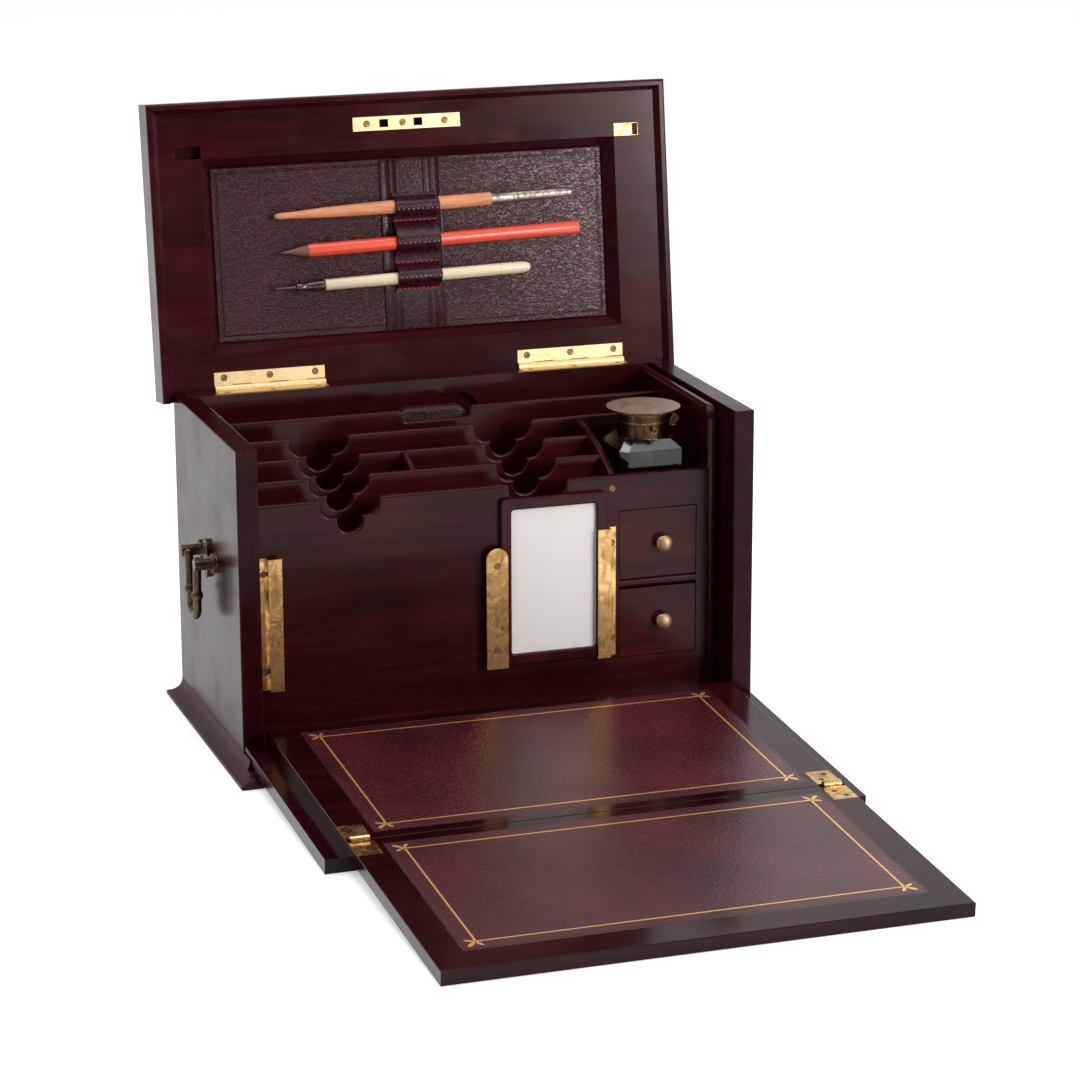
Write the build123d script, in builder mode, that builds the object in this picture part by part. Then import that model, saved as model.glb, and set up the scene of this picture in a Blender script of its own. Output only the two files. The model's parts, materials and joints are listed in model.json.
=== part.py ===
from build123d import *

import os
from math import asin, cos, radians, sin, tan

os.makedirs("parts", exist_ok=True)

# A desk-top stationery box with its lid and its fall-front open.
# Frame: X across the front, Y to the back, Z up.  The origin lies on the ground, midway across,
# under the front edges of the two sides.  Heights named "_height" or "_top" are taken from the
# plinth's top, where the sides begin, unless their name says otherwise.

# ---- driving dimensions, mm -------------------------------------------------------------------
outer_width = 300.0
side_height = 170.0
side_depth = 148.0
wall = 12.0
rebate = 6.0  # depth of the rebate that takes the back panel
arris = 0.8  # easing of sharp wooden edges
floor_thickness = 4.0

plinth_height = 12.0
plinth_flare = 8.0
plinth_foot = 2.0
plinth_stock = 10.0
plinth_reach = 20.0  # how far the plinth stands in front of the sides
plinth_horn = 14.0  # how far its side mouldings keep their full height there

fall_thickness = 8.5
fall_side_gap = 0.8  # by which the fall is narrower than the case, each side
fall_droop = 2.8  # degrees below level when it rests on the plinth
leaf_thickness = 7.5
leaf_side_gap = 1.0  # between a leaf and the side beside it
leaf_fold_setback = 2.5  # from the fall's end to the fold between the leaves
leaf_start = 0.8  # from the fall's hinge to the rear leaf
leaf_arris = 0.5
leaf_end_gap = 0.6  # between the folded front leaf and the floor
leather_thickness = 0.6
leather_margin_side = 17.0
leather_margin_fold = 8.0
leather_margin_front = 18.8

lid_thickness = 20.0
lid_lean = 7.4  # degrees past upright when open
lid_overhang = 7.0
lid_back_overhang = 5.5
lid_edge_radius = 5.0
rim_height = 4.5
rim_wall_gap = 0.8  # between the side and the rim that wraps it
rim_front_gap = 1.8  # between the closed fall and the rim
rim_slope = 31.0  # degrees
recess_depth = 9.5
recess_bevel = 6.0
recess_margin = 24.6  # from a side's outer face
recess_low = 20.4
recess_high = 133.1
lid_leather_thickness = 1.2
leather_gap = 0.5  # round the leather on the recess's floor

clearance = 0.15  # between wooden faces that close on each other
running = 0.05  # radial, pins in their bores
easy = 0.3  # between moving neighbours

rack_front = 24.0  # from the sides' front edges to the rack
rack_arris = 1.2  # rounding of the rack boards' top edges
nose = 0.4  # rounding of a thin board's edge, as a share of its thickness
front_board_thickness = 6.0
front_board_top = 132.0
divider_thickness = 4.0
divider_pitch = 21.0
divider_rise = 6.5
divider_first_top = 139.5
scallop_width = 34.0
scallop_bowl_depth = 10.5
scallop_bowl_radius = 7.6
scallop_toe_radius = 7.5
scallop_toe_drop = 11.9
scallop_shoulder = 2.5
scallop_left_inset = 55.0  # from the left lining to a scallop's middle
scallop_right_inset = 48.2  # from the drawers to a scallop's middle
dip_centre = -4.3
dip_width = 40.0
dip_depth = 7.0
dip_bowl_radius = 3.3
dip_shoulder = 3.2
hollow_centre = 14.6
hollow_width = 31.0
hollow_height = 26.0
hollow_top = 161.0
hollow_depth = 4.0
hollow_radius = 11.0
groove = 1.0
lining_drop = 2.0  # linings stop short of the sides' tops
left_lining_thickness = 3.0
right_lining_thickness = 6.5
lining_nose = 8.0
letter_partition_x = -36.0
partition_thickness = 3.0
curved_partition_thickness = 4.0
curved_partition_rise = 12.8  # of its top edge at the middle
curved_partition_drop = 1.5  # of its top edge below the divider behind it

drawer_stile = 6.5  # from the drawers to the right lining
drawer_opening_width = 47.3
drawer_opening_height = 41.0
drawer_low = 24.3
drawer_rail = 5.3
drawer_gap = 0.25
drawer_front_thickness = 6.0
drawer_wall = 2.5
drawer_side_drop = 3.0
shelf_thickness = 4.0
shelf_top = 117.0
dust_board = 4.0

knob_radius = 4.75
knob_length = 7.0
knob_neck_radius = 1.9
knob_foot_radius = 3.2
knob_stud_radius = 1.5
knob_dome = 2.4
knob_offset = 2.5  # to the right of the drawer's middle

brass = 1.0  # sheet of the card channels
card_gap = 4.4  # from the rack's face to the back of a channel's lip
channel_bottom = 26.8
channel_height = 76.0
channel_lip = 6.8
channel_base = 5.1
channel_screw_inset = 2.8
channel_screw_heights = (10.6, 66.9)  # above the channel's foot
left_channel_margin = 2.1  # from the left lining
right_channel_margin = 2.2  # from the drawers
middle_channel_width = 12.8
middle_channel_height = 70.6
middle_web = 5.0
middle_screw_drop = 10.3  # from the channel's top
middle_screw_pitch = 49.6
front_screw_offset = 3.4  # from the right channel
front_screw_top = 125.0

tablet_play = 0.5  # between the tablet and the middle channel's web
tablet_gap = 1.1  # between the tablet and the right channel's web
tablet_width = 62.9
tablet_height = 96.6
tablet_thickness = 3.8
tablet_rail = 6.0
tablet_panel_thickness = 1.5
tablet_rebate = 1.3
tablet_arris = 0.9

hinge_plate = 1.5
lid_hinge_inset = 57.7  # from a side's outer face to the hinge's middle
lid_hinge_length = 66.0
lid_hinge_reach = 10.0
lid_knuckle_radius = 2.5
lid_knuckles = 6
lid_screw_margin = 5.75  # from the plate's end
lid_screw_reach = 6.8  # from the pin
leaf_hinge_inset = 7.0  # from the leaf's end to the hinge's middle
leaf_hinge_width = 13.6
leaf_hinge_reach = 20.0
leaf_knuckle_radius = 2.5
leaf_knuckle_length = 10.0
leaf_knuckles = 3
fall_hinge_inset = 65.0  # from a side's outer face to the hinge's middle
fall_hinge_length = 50.0
fall_hinge_reach = 6.2
fall_knuckle_radius = 2.0
fall_knuckles = 5
pin_radius = 1.1

screw_head_radius = 1.7
screw_shank_radius = 0.9
screw_length = 5.0
screw_slot = 0.6
screw_turn = 35.0  # degrees, of the slots

striker_centre = -2.2
striker_length = 65.0
striker_width = 8.0
striker_v = 148.0
striker_slots = (-13.8, 6.9)  # from the plate's centre
striker_slot_size = (5.4, 4.6)
striker_screws = (-24.3, -2.5, 23.1)
mortise_inset = 24.2  # from a side's outer face
mortise_length = 15.0
mortise_width = 7.4
mortise_v = 136.8
mortise_depth = 5.0

strap_width = 37.0
strap_centre = 0.5
strap_thickness = 0.8
loop_width = 27.0
loop_centre = 1.8
loop_leather = 1.2
loop_clearance = 0.7
pen_tilt = 1.3  # degrees
dip_pen_v = 99.5
dip_pen_radius = 4.0
dip_pen_left = -83.6
dip_pen_right = 99.0
pencil_v = 78.3
pencil_radius = 3.85
pencil_left = -81.1
pencil_right = 101.7
ivory_pen_v = 57.5
ivory_pen_radius = 3.5
ivory_pen_left = -85.3
ivory_pen_right = 70.7

inkwell_inset = 29.0  # from the right lining to its axis
inkwell_y = 52.0
inkwell_side = 40.0
inkwell_corner = 4.0
inkwell_body = 26.0
inkwell_shoulder = 5.0
inkwell_neck_radius = 12.5
inkwell_neck = 6.0
inkwell_bore = 10.0
inkwell_bottom = 8.0
collar_radius = 15.0
collar_height = 9.0
cap_drum_radius = 15.5
cap_drum_height = 6.5
cap_radius = 21.2
cap_height = 3.5
cap_dome = 2.5
cap_skirt = 2.0
cap_hollow = 1.5
cap_flare = 2.0
cap_hinge_reach = 17.5
cap_pin_radius = 0.9
cap_pin_reach = 4.0
lug_radius = 2.2
collar_lug_place = 3.6
collar_lug_half = 1.4
collar_lug_web = 3.0
cap_lug_half = 1.9
cap_lug_web = 3.4
catch_radius = 1.6
catch_length = 4.0

handle_y = 71.0
handle_z = 93.5
handle_span = 32.0
handle_plate = 2.0
handle_bar = 4.0
handle_boss_radius = 5.5
handle_finial_radius = 5.0
handle_standoff = 9.0
handle_post_radius = 3.2
handle_pin_radius = 1.5
bail_radius = 2.4
bail_shoulder = 2.7
bail_drop = 33.0
bail_foot = 14.0
bail_bend = 6.0
knop_radius = 3.4
knop_share = 0.6  # of the way down the bail's arms

case_centre = -5.0
case_width = 44.0
case_thickness = 9.0
case_top = 158.8
lock_length = 60.0
lock_depth = 24.0
lock_thickness = 5.0
keyhole_radius = 1.8
keyhole_setback = 13.2  # from the fall's end

# ---- worked out from them ---------------------------------------------------------------------
half_width = outer_width / 2
inner_half = half_width - wall
back_inner = side_depth - wall
floor_level = plinth_height + floor_thickness
fall_underside = floor_level - fall_thickness / cos(radians(fall_droop))
fall_rest = fall_underside - plinth_reach * tan(radians(fall_droop)) - clearance
fall_bed_half = half_width - fall_side_gap + easy
side_top = plinth_height + side_height
fall_start = clearance + fall_thickness * sin(radians(fall_droop))
fall_width = outer_width - 2 * fall_side_gap
fall_length = side_height - floor_thickness - 3 * clearance
leaf_half_width = inner_half - leaf_side_gap
leaf_fold_depth = fall_length - leaf_fold_setback  # from the fall's hinge
fold_height = leaf_thickness + clearance
front_leaf_length = leaf_fold_depth - leaf_end_gap
leather_half_width = leaf_half_width - leather_margin_side
leaf_hinge_centre = leaf_half_width - leaf_hinge_inset
fall_hinge_centre = half_width - fall_hinge_inset
lid_hinge_centre = half_width - lid_hinge_inset
recess_half_width = half_width - recess_margin
mortise_inner = half_width - mortise_inset
lid_half_width = half_width + lid_overhang
lid_axis_y = side_depth + 1.0
lid_axis_z = side_top + clearance
rim_half_width = half_width + rim_wall_gap
rim_front_v = lid_axis_y + fall_thickness + rim_front_gap
lid_front_v = rim_front_v + lid_half_width - rim_half_width
rack_back = rack_front + front_board_thickness
rack_left = -inner_half + left_lining_thickness
rack_right = inner_half - right_lining_thickness
divider_fronts = [rack_front + (i + 1) * divider_pitch for i in range(4)]
divider_tops = [divider_first_top + i * divider_rise for i in range(4)]
drawer_opening_right = rack_right - drawer_stile
drawer_opening_left = drawer_opening_right - drawer_opening_width
drawer_bottoms = [drawer_low + i * (drawer_opening_height + drawer_rail) for i in range(2)]
drawer_opening_top = drawer_bottoms[1] + drawer_opening_height
drawer_back = divider_fronts[2] - dust_board / 2
lip_front = rack_front - card_gap - brass
left_channel_x = rack_left + left_channel_margin + channel_base
right_channel_x = drawer_opening_left - right_channel_margin - channel_base
tablet_left = right_channel_x - tablet_gap - tablet_width
middle_channel_x = tablet_left - tablet_play - middle_web / 2
scallop_left = rack_left + scallop_left_inset
scallop_right = drawer_opening_left - scallop_right_inset
inkwell_x = rack_right - inkwell_inset
bail_inset = handle_post_radius + bail_shoulder + easy


def level(height):
    """The height above the ground of something measured from the plinth's top."""
    return plinth_height + height


def facing_front(y):
    """A plane across the box at depth y: local x is X and local y is Z."""
    return Plane.XZ.offset(-y)


def moved(plane, x, y, z=0.0):
    """The plane with its origin moved to a point in its own coordinates."""
    return Plane(origin=plane.from_local_coords((x, y, z)), x_dir=plane.x_dir, z_dir=plane.z_dir)


def across(plane, x, y, z=0.0):
    """A plane square to the given one's x axis, through a point in its coordinates."""
    return Plane(origin=plane.from_local_coords((x, y, z)), x_dir=plane.y_dir, z_dir=plane.x_dir)


# The lid's inner face: local x across, local y up the lid from its hinge, normal out of the face.
lid_plane = Plane(
    origin=(0, lid_axis_y, lid_axis_z),
    x_dir=(1, 0, 0),
    z_dir=(0, -cos(radians(lid_lean)), sin(radians(lid_lean))),
)
# The fall's inner face: its pieces lie at negative local y, the leaves above it.
fall_plane = Plane(
    origin=(0, -clearance, floor_level),
    x_dir=(1, 0, 0),
    z_dir=(0, -sin(radians(fall_droop)), cos(radians(fall_droop))),
)
fold_plane = moved(fall_plane, 0, -leaf_fold_depth, fold_height)

# Each hinge half lies in a plane through its pin: local y runs along the plate from the pin.
lid_hinge_upper = lid_plane
lid_hinge_lower = Plane(origin=lid_plane.origin, x_dir=(-1, 0, 0), z_dir=(0, 0, 1))
fold_hinge_rear = fold_plane
fold_hinge_front = Plane(origin=fold_plane.origin, x_dir=-fold_plane.x_dir, z_dir=fold_plane.z_dir)
fall_hinge_floor = Plane(origin=fall_plane.origin, x_dir=(-1, 0, 0), z_dir=(0, -1, 0))
fall_hinge_board = Plane(origin=fall_plane.origin, x_dir=(1, 0, 0), z_dir=fall_plane.y_dir)


def finish(piece, name):
    """Label a finished piece and write it to its own file."""
    piece.part.label = name
    export_step(piece.part, f"parts/{name}.step")


def crown(rim, rise):
    """A shallow dome in the line being drawn, from a rim point to the turning axis at local x = 0."""
    radius, height = rim
    ball = (radius**2 + rise**2) / (2 * abs(rise))
    side = 1 if rise > 0 else -1
    half = asin(radius / ball) / 2
    middle = (ball * sin(half), height + rise - side * ball * (1 - cos(half)))
    ThreePointArc(rim, middle, (0, height + rise))


def hinge_half(plane, centres, length, reach, radius, knuckles, first, sink, knuckle_length=None, screws=()):
    """Plates with every second knuckle of a butt hinge, bored for the pin and for its screws."""
    barrel = knuckle_length or length
    step = barrel / knuckles
    with BuildPart() as half:
        for centre in centres:
            with BuildSketch(moved(plane, centre, 0, -sink)):
                with Locations((0, radius + easy)):
                    Rectangle(length, reach - radius - easy, align=(Align.CENTER, Align.MIN))
            extrude(amount=-hinge_plate)
            for i in range(first, knuckles, 2):
                middle = centre - barrel / 2 + (i + 0.5) * step
                with BuildSketch(moved(plane, middle, 0, -sink)):
                    Rectangle(step - running * 2, radius + easy, align=(Align.CENTER, Align.MIN))
                extrude(amount=-hinge_plate)
                with BuildSketch(across(plane, middle, 0)):
                    Circle(radius)
                extrude(amount=step / 2 - running, both=True)
            with BuildSketch(across(plane, centre, 0)):
                Circle(pin_radius + running)
            extrude(amount=barrel / 2, both=True, mode=Mode.SUBTRACT)
        if screws:
            drill(plane, screws, hinge_plate + sink, screw_head_radius)
    return half


def let_in(plane, centres, length, reach, radius, sink, knuckle_length=None):
    """Cut the piece being built for a hinge's plates and for its barrel."""
    barrel = knuckle_length or length
    for centre in centres:
        with BuildSketch(moved(plane, centre, 0, -sink)) as bed:
            Rectangle(length, reach, align=(Align.CENTER, Align.MIN))
        extrude(bed.sketch, amount=-hinge_plate, mode=Mode.SUBTRACT)
        with BuildSketch(across(plane, centre, 0)) as hollow:
            Circle(radius + easy)
        extrude(hollow.sketch, amount=barrel / 2 + easy, both=True, mode=Mode.SUBTRACT)


def drill(plane, points, depth, radius):
    """Drill the piece being built at points on a plane."""
    with BuildSketch(plane) as holes:
        with Locations(*points):
            Circle(radius)
    extrude(holes.sketch, amount=-depth, mode=Mode.SUBTRACT)


def set_screws(plane, points, plate):
    """Slotted screws with flush heads, added to the piece being built."""
    with BuildSketch(plane) as heads:
        with Locations(*points):
            Circle(screw_head_radius)
    extrude(heads.sketch, amount=-plate)
    with BuildSketch(plane.offset(-plate)) as shanks:
        with Locations(*points):
            Circle(screw_shank_radius)
    extrude(shanks.sketch, amount=-screw_length)
    with BuildSketch(plane) as slots:
        with Locations(*points):
            Rectangle(2 * screw_head_radius, screw_slot, rotation=screw_turn)
    extrude(slots.sketch, amount=-plate / 2, mode=Mode.SUBTRACT)


lid_hinge_centres = (-lid_hinge_centre, lid_hinge_centre)
lid_screw_step = lid_hinge_length / 2 - lid_screw_margin
lid_hinge_points = [
    (centre + i * lid_screw_step, lid_screw_reach) for centre in lid_hinge_centres for i in (-1, 0, 1)
]
fold_centres = (-leaf_hinge_centre, leaf_hinge_centre)
fall_centres = (-fall_hinge_centre, fall_hinge_centre)
lid_hinge_fit = (lid_hinge_centres, lid_hinge_length, lid_hinge_reach, lid_knuckle_radius)
fold_hinge_fit = (fold_centres, leaf_hinge_width, leaf_hinge_reach, leaf_knuckle_radius)
fall_hinge_fit = (fall_centres, fall_hinge_length, fall_hinge_reach, fall_knuckle_radius)


# ---- plinth -----------------------------------------------------------------------------------
def lower_for_fall():
    """Cut down the plinth's front, in the piece being built, so that the open fall lies in it."""
    reach = plinth_reach + plinth_flare + easy
    width = 2 * (half_width + plinth_flare + easy)
    with BuildSketch(Plane.XY.offset(fall_rest)) as bed:
        Rectangle(2 * fall_bed_half, reach, align=(Align.CENTER, Align.MAX))
        with Locations((0, -plinth_horn)):
            Rectangle(width, reach - plinth_horn, align=(Align.CENTER, Align.MAX))
    extrude(bed.sketch, amount=plinth_height, mode=Mode.SUBTRACT)


with BuildPart() as base_board:
    with BuildSketch():
        with Locations((0, (side_depth - plinth_reach) / 2)):
            Rectangle(outer_width - 2 * plinth_stock, side_depth + plinth_reach - 2 * plinth_stock)
    extrude(amount=plinth_height)
    lower_for_fall()
    let_in(fall_hinge_floor, *fall_hinge_fit, clearance)
finish(base_board, "base_board")


def plinth_run(origin, outward, half_length):
    """One cavetto moulding of the plinth, mitred at both ends."""
    face = Plane(origin=origin, x_dir=outward, z_dir=Vector(*outward).cross(Vector(0, 0, 1)))
    with BuildPart() as run:
        with BuildSketch(face):
            with BuildLine():
                Polyline(
                    (0, plinth_height),
                    (-plinth_stock, plinth_height),
                    (-plinth_stock, 0),
                    (plinth_flare, 0),
                    (plinth_flare, plinth_foot),
                )
                RadiusArc(
                    (plinth_flare, plinth_foot),
                    (0, plinth_height),
                    plinth_height - plinth_foot,
                    short_sagitta=True,
                )
            make_face()
        extrude(amount=half_length + plinth_flare, both=True)
        for end in (-1, 1):
            corner = face.from_local_coords((0, 0, end * half_length))
            mitre = face.x_dir - face.z_dir * end
            split(bisect_by=Plane(origin=corner, z_dir=mitre), keep=Keep.TOP)
        lower_for_fall()
    return run


plinth_middle = (side_depth - plinth_reach) / 2
plinth_half_depth = (side_depth + plinth_reach) / 2
plinth_front = plinth_run((0, -plinth_reach, 0), (0, -1, 0), half_width)
plinth_back = plinth_run((0, side_depth, 0), (0, 1, 0), half_width)
plinth_left = plinth_run((-half_width, plinth_middle, 0), (-1, 0, 0), plinth_half_depth)
plinth_right = plinth_run((half_width, plinth_middle, 0), (1, 0, 0), plinth_half_depth)
finish(plinth_front, "plinth_front")
finish(plinth_back, "plinth_back")
finish(plinth_left, "plinth_left")
finish(plinth_right, "plinth_right")

# ---- case -------------------------------------------------------------------------------------
with BuildPart() as floor_board:
    with BuildSketch(Plane.XY.offset(plinth_height)):
        Rectangle(2 * inner_half, back_inner, align=(Align.CENTER, Align.MIN))
    extrude(amount=floor_thickness)
    let_in(fall_hinge_floor, *fall_hinge_fit, clearance)
finish(floor_board, "floor_board")


def side_panel(hand):
    """A side of the case, rebated behind for the back panel; hand is -1 on the left."""
    with BuildPart() as panel:
        with BuildSketch(Plane.XY.offset(plinth_height)):
            with Locations((hand * (half_width - wall / 2), side_depth / 2)):
                Rectangle(wall, side_depth)
            with Locations((hand * inner_half, back_inner)):
                inward = Align.MIN if hand > 0 else Align.MAX
                Rectangle(rebate, wall, align=(inward, Align.MIN), mode=Mode.SUBTRACT)
        extrude(amount=side_height)
        top = panel.faces().sort_by(Axis.Z)[-1]
        fillet(top.edges().filter_by(Axis.Y) + panel.edges().filter_by(Axis.Z).group_by(Axis.Y)[0], arris)
    return panel


left_side = side_panel(-1)
right_side = side_panel(1)
finish(left_side, "left_side")
finish(right_side, "right_side")

with BuildPart() as back_panel:
    with BuildSketch(Plane.XY.offset(plinth_height)):
        with Locations((0, back_inner)):
            Rectangle(2 * (inner_half + rebate), wall, align=(Align.CENTER, Align.MIN))
    extrude(amount=side_height)
    let_in(lid_hinge_lower, *lid_hinge_fit, clearance)
    drill(lid_hinge_lower, lid_hinge_points, hinge_plate + screw_length + clearance, screw_shank_radius)
    with BuildSketch(facing_front(back_inner)):
        with Locations((hollow_centre, level(hollow_top))):
            RectangleRounded(hollow_width, hollow_height, hollow_radius, align=(Align.CENTER, Align.MAX))
    extrude(amount=-hollow_depth, mode=Mode.SUBTRACT)
finish(back_panel, "back_panel")


def lining(inner_x, thickness, hand):
    """A thin board against a side, its front edge rounded and its front top corner swept."""
    height = side_top - lining_drop - floor_level
    with BuildPart() as board:
        with BuildSketch(Plane.YZ.offset(inner_x)):
            with Locations((rack_front, floor_level)):
                Rectangle(back_inner - rack_front, height, align=(Align.MIN, Align.MIN))
        extrude(amount=hand * thickness)
        corner = board.edges().filter_by(Axis.X).group_by(Axis.Z)[-1].sort_by(Axis.Y)[0]
        fillet(corner, lining_nose)
        fillet(board.faces().sort_by(Axis.Y)[0].edges().filter_by(Axis.Z), thickness * nose)
        if hand < 0:
            for front, top in zip(divider_fronts, divider_tops):
                house_divider(Plane.YZ.offset(rack_left), front, top, -groove)
        else:
            for front, top in list(zip(divider_fronts, divider_tops))[2:]:
                house_divider(Plane.YZ.offset(rack_right), front, top, groove)
    return board


def house_divider(plane, front, top, depth):
    """Groove the piece being built for the end of a divider."""
    with BuildSketch(plane) as housing:
        with Locations((front, floor_level)):
            Rectangle(divider_thickness, level(top) - floor_level, align=(Align.MIN, Align.MIN))
    extrude(housing.sketch, amount=depth, mode=Mode.SUBTRACT)


left_lining = lining(rack_left, left_lining_thickness, -1)
right_lining = lining(rack_right, right_lining_thickness, 1)
finish(left_lining, "left_lining")
finish(right_lining, "right_lining")


# ---- letter rack ------------------------------------------------------------------------------
def scalloped_outline(left, right, top, centres):
    """Draw a rack board with finger cut-outs in its top edge, in the sketch being built."""
    with Locations(((left + right) / 2, floor_level)):
        Rectangle(right - left, level(top) - floor_level, align=(Align.CENTER, Align.MIN))
    with Locations(*[(centre, level(top)) for centre in centres]):
        RectangleRounded(scallop_width, 2 * scallop_bowl_depth, scallop_bowl_radius, mode=Mode.SUBTRACT)
    with Locations(*[(centre, level(top) - scallop_toe_drop) for centre in centres]):
        Circle(scallop_toe_radius, mode=Mode.SUBTRACT)


def shoulders(outline, top, centres, width):
    """The corners where a board's cut-outs of one width meet its top edge."""
    ends = [centre + side * width / 2 for centre in centres for side in (-1, 1)]
    tops = outline.vertices().filter_by_position(Axis.Y, level(top) - easy, level(top) + easy)
    return [corner for corner in tops if min(abs(corner.X - end) for end in ends) < easy]


def soften(board, lowest, through=Axis.Y):
    """Round the arrises of the board being built that lie above a height, across its thickness."""
    outline = board.edges().filter_by(through, reverse=True)
    fillet(outline.filter_by(lambda edge: edge.center().Z > lowest), rack_arris)


def channel_points(x):
    """The two screws of a channel, up its height."""
    return [(x, level(channel_bottom + height)) for height in channel_screw_heights]


scallops = (scallop_left, scallop_right)
scallop_depth = scallop_toe_drop + scallop_toe_radius
front_screw = (right_channel_x + front_screw_offset, level(front_screw_top))
left_channel_points = channel_points(left_channel_x - channel_screw_inset)
right_channel_points = channel_points(right_channel_x + channel_screw_inset)
side_channel_points = left_channel_points + right_channel_points
middle_top = channel_bottom + middle_channel_height
middle_points = [
    (middle_channel_x, level(middle_top - middle_screw_drop - i * middle_screw_pitch)) for i in (0, 1)
]
with BuildPart() as front_board:
    with BuildSketch(facing_front(rack_front)) as outline:
        scalloped_outline(rack_left, rack_right, front_board_top, scallops)
        fillet(shoulders(outline, front_board_top, scallops, scallop_width), scallop_shoulder)
        with Locations((drawer_opening_left, level(drawer_low))):
            Rectangle(
                drawer_opening_width,
                drawer_opening_top - drawer_low,
                align=(Align.MIN, Align.MIN),
                mode=Mode.SUBTRACT,
            )
    extrude(amount=-front_board_thickness)
    soften(front_board, level(front_board_top) - scallop_depth - easy)
    drill(facing_front(rack_front), side_channel_points, screw_length, screw_shank_radius)
    drill(facing_front(rack_front), middle_points, screw_length - card_gap, screw_shank_radius)
    drill(facing_front(rack_front), [front_screw], brass, screw_head_radius)
    drill(facing_front(rack_front), [front_screw], brass + screw_length, screw_shank_radius)
finish(front_board, "front_board")

divider_names = ("divider_second", "divider_third", "divider_fourth")
curved_left = drawer_opening_left - curved_partition_thickness
for name, front, top in zip(divider_names, divider_fronts, divider_tops):
    to_lining = name == divider_names[-1]
    right_end = rack_right + groove if to_lining else curved_left + groove
    with BuildPart() as divider:
        with BuildSketch(facing_front(front)) as outline:
            scalloped_outline(rack_left - groove, right_end, top, scallops)
            fillet(shoulders(outline, top, scallops, scallop_width), scallop_shoulder)
        extrude(amount=-divider_thickness)
        soften(divider, level(top) - scallop_depth - easy)
    finish(divider, name)

with BuildPart() as back_divider:
    with BuildSketch(facing_front(divider_fronts[3])) as outline:
        with Locations(((rack_left + rack_right) / 2, floor_level)):
            Rectangle(
                rack_right - rack_left + 2 * groove,
                level(divider_tops[3]) - floor_level,
                align=(Align.CENTER, Align.MIN),
            )
        with Locations((dip_centre, level(divider_tops[3]))):
            RectangleRounded(dip_width, 2 * dip_depth, dip_bowl_radius, mode=Mode.SUBTRACT)
        fillet(shoulders(outline, divider_tops[3], [dip_centre], dip_width), dip_shoulder)
    extrude(amount=-divider_thickness)
    soften(back_divider, level(divider_tops[3]) - dip_depth - easy)
finish(back_divider, "back_divider")

with BuildPart() as letter_partition:
    with BuildSketch(Plane.YZ.offset(letter_partition_x - partition_thickness / 2)):
        with BuildLine():
            Polyline(
                (divider_fronts[0] + divider_thickness, floor_level),
                (divider_fronts[0] + divider_thickness, level(divider_tops[0])),
                (divider_fronts[1], level(divider_tops[1])),
                (divider_fronts[1], floor_level),
                close=True,
            )
        make_face()
    extrude(amount=partition_thickness)
    soften(letter_partition, level(divider_tops[0]), Axis.X)
finish(letter_partition, "letter_partition")

curve_end = level(divider_tops[2] - curved_partition_drop)
with BuildPart() as curved_partition:
    with BuildSketch(Plane.YZ.offset(curved_left)):
        with BuildLine():
            Polyline(
                (rack_back, level(front_board_top)),
                (rack_back, floor_level),
                (divider_fronts[2], floor_level),
                (divider_fronts[2], curve_end),
            )
            ThreePointArc(
                (rack_back, level(front_board_top)),
                ((rack_back + divider_fronts[2]) / 2, level(front_board_top + curved_partition_rise)),
                (divider_fronts[2], curve_end),
            )
        make_face()
    extrude(amount=curved_partition_thickness)
    soften(curved_partition, level(front_board_top), Axis.X)
    for front, top in zip(divider_fronts[:2], divider_tops[:2]):
        house_divider(Plane.YZ.offset(curved_left), front, top, groove)
finish(curved_partition, "curved_partition")

# ---- drawer case and inkwell shelf ------------------------------------------------------------
shelf_under = shelf_top - shelf_thickness
case_depth = divider_fronts[2] - rack_back
with BuildPart() as drawer_case:
    with BuildSketch(Plane.XY.offset(floor_level)):
        with Locations((drawer_opening_right, rack_back)):
            Rectangle(rack_right - drawer_opening_right, case_depth, align=(Align.MIN, Align.MIN))
    extrude(amount=level(shelf_under) - floor_level)
    with BuildSketch(Plane.YZ.offset(drawer_opening_right)):
        with Locations((rack_back, level(drawer_low))):
            Rectangle(case_depth, dust_board, align=(Align.MIN, Align.MAX))
        with Locations((rack_front, level(drawer_bottoms[1] - drawer_rail / 2))):
            Rectangle(divider_fronts[2] - rack_front, drawer_rail, align=(Align.MIN, Align.CENTER))
    extrude(amount=-drawer_opening_width)
    fillet(drawer_case.faces().sort_by(Axis.Y)[0].edges().filter_by(Axis.X), drawer_rail * nose)
finish(drawer_case, "drawer_case")

with BuildPart() as inkwell_shelf:
    with BuildSketch(Plane.XY.offset(level(shelf_top))):
        with Locations((drawer_opening_left, rack_back)):
            Rectangle(rack_right - drawer_opening_left, case_depth, align=(Align.MIN, Align.MIN))
    extrude(amount=-shelf_thickness)
finish(inkwell_shelf, "inkwell_shelf")

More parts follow.
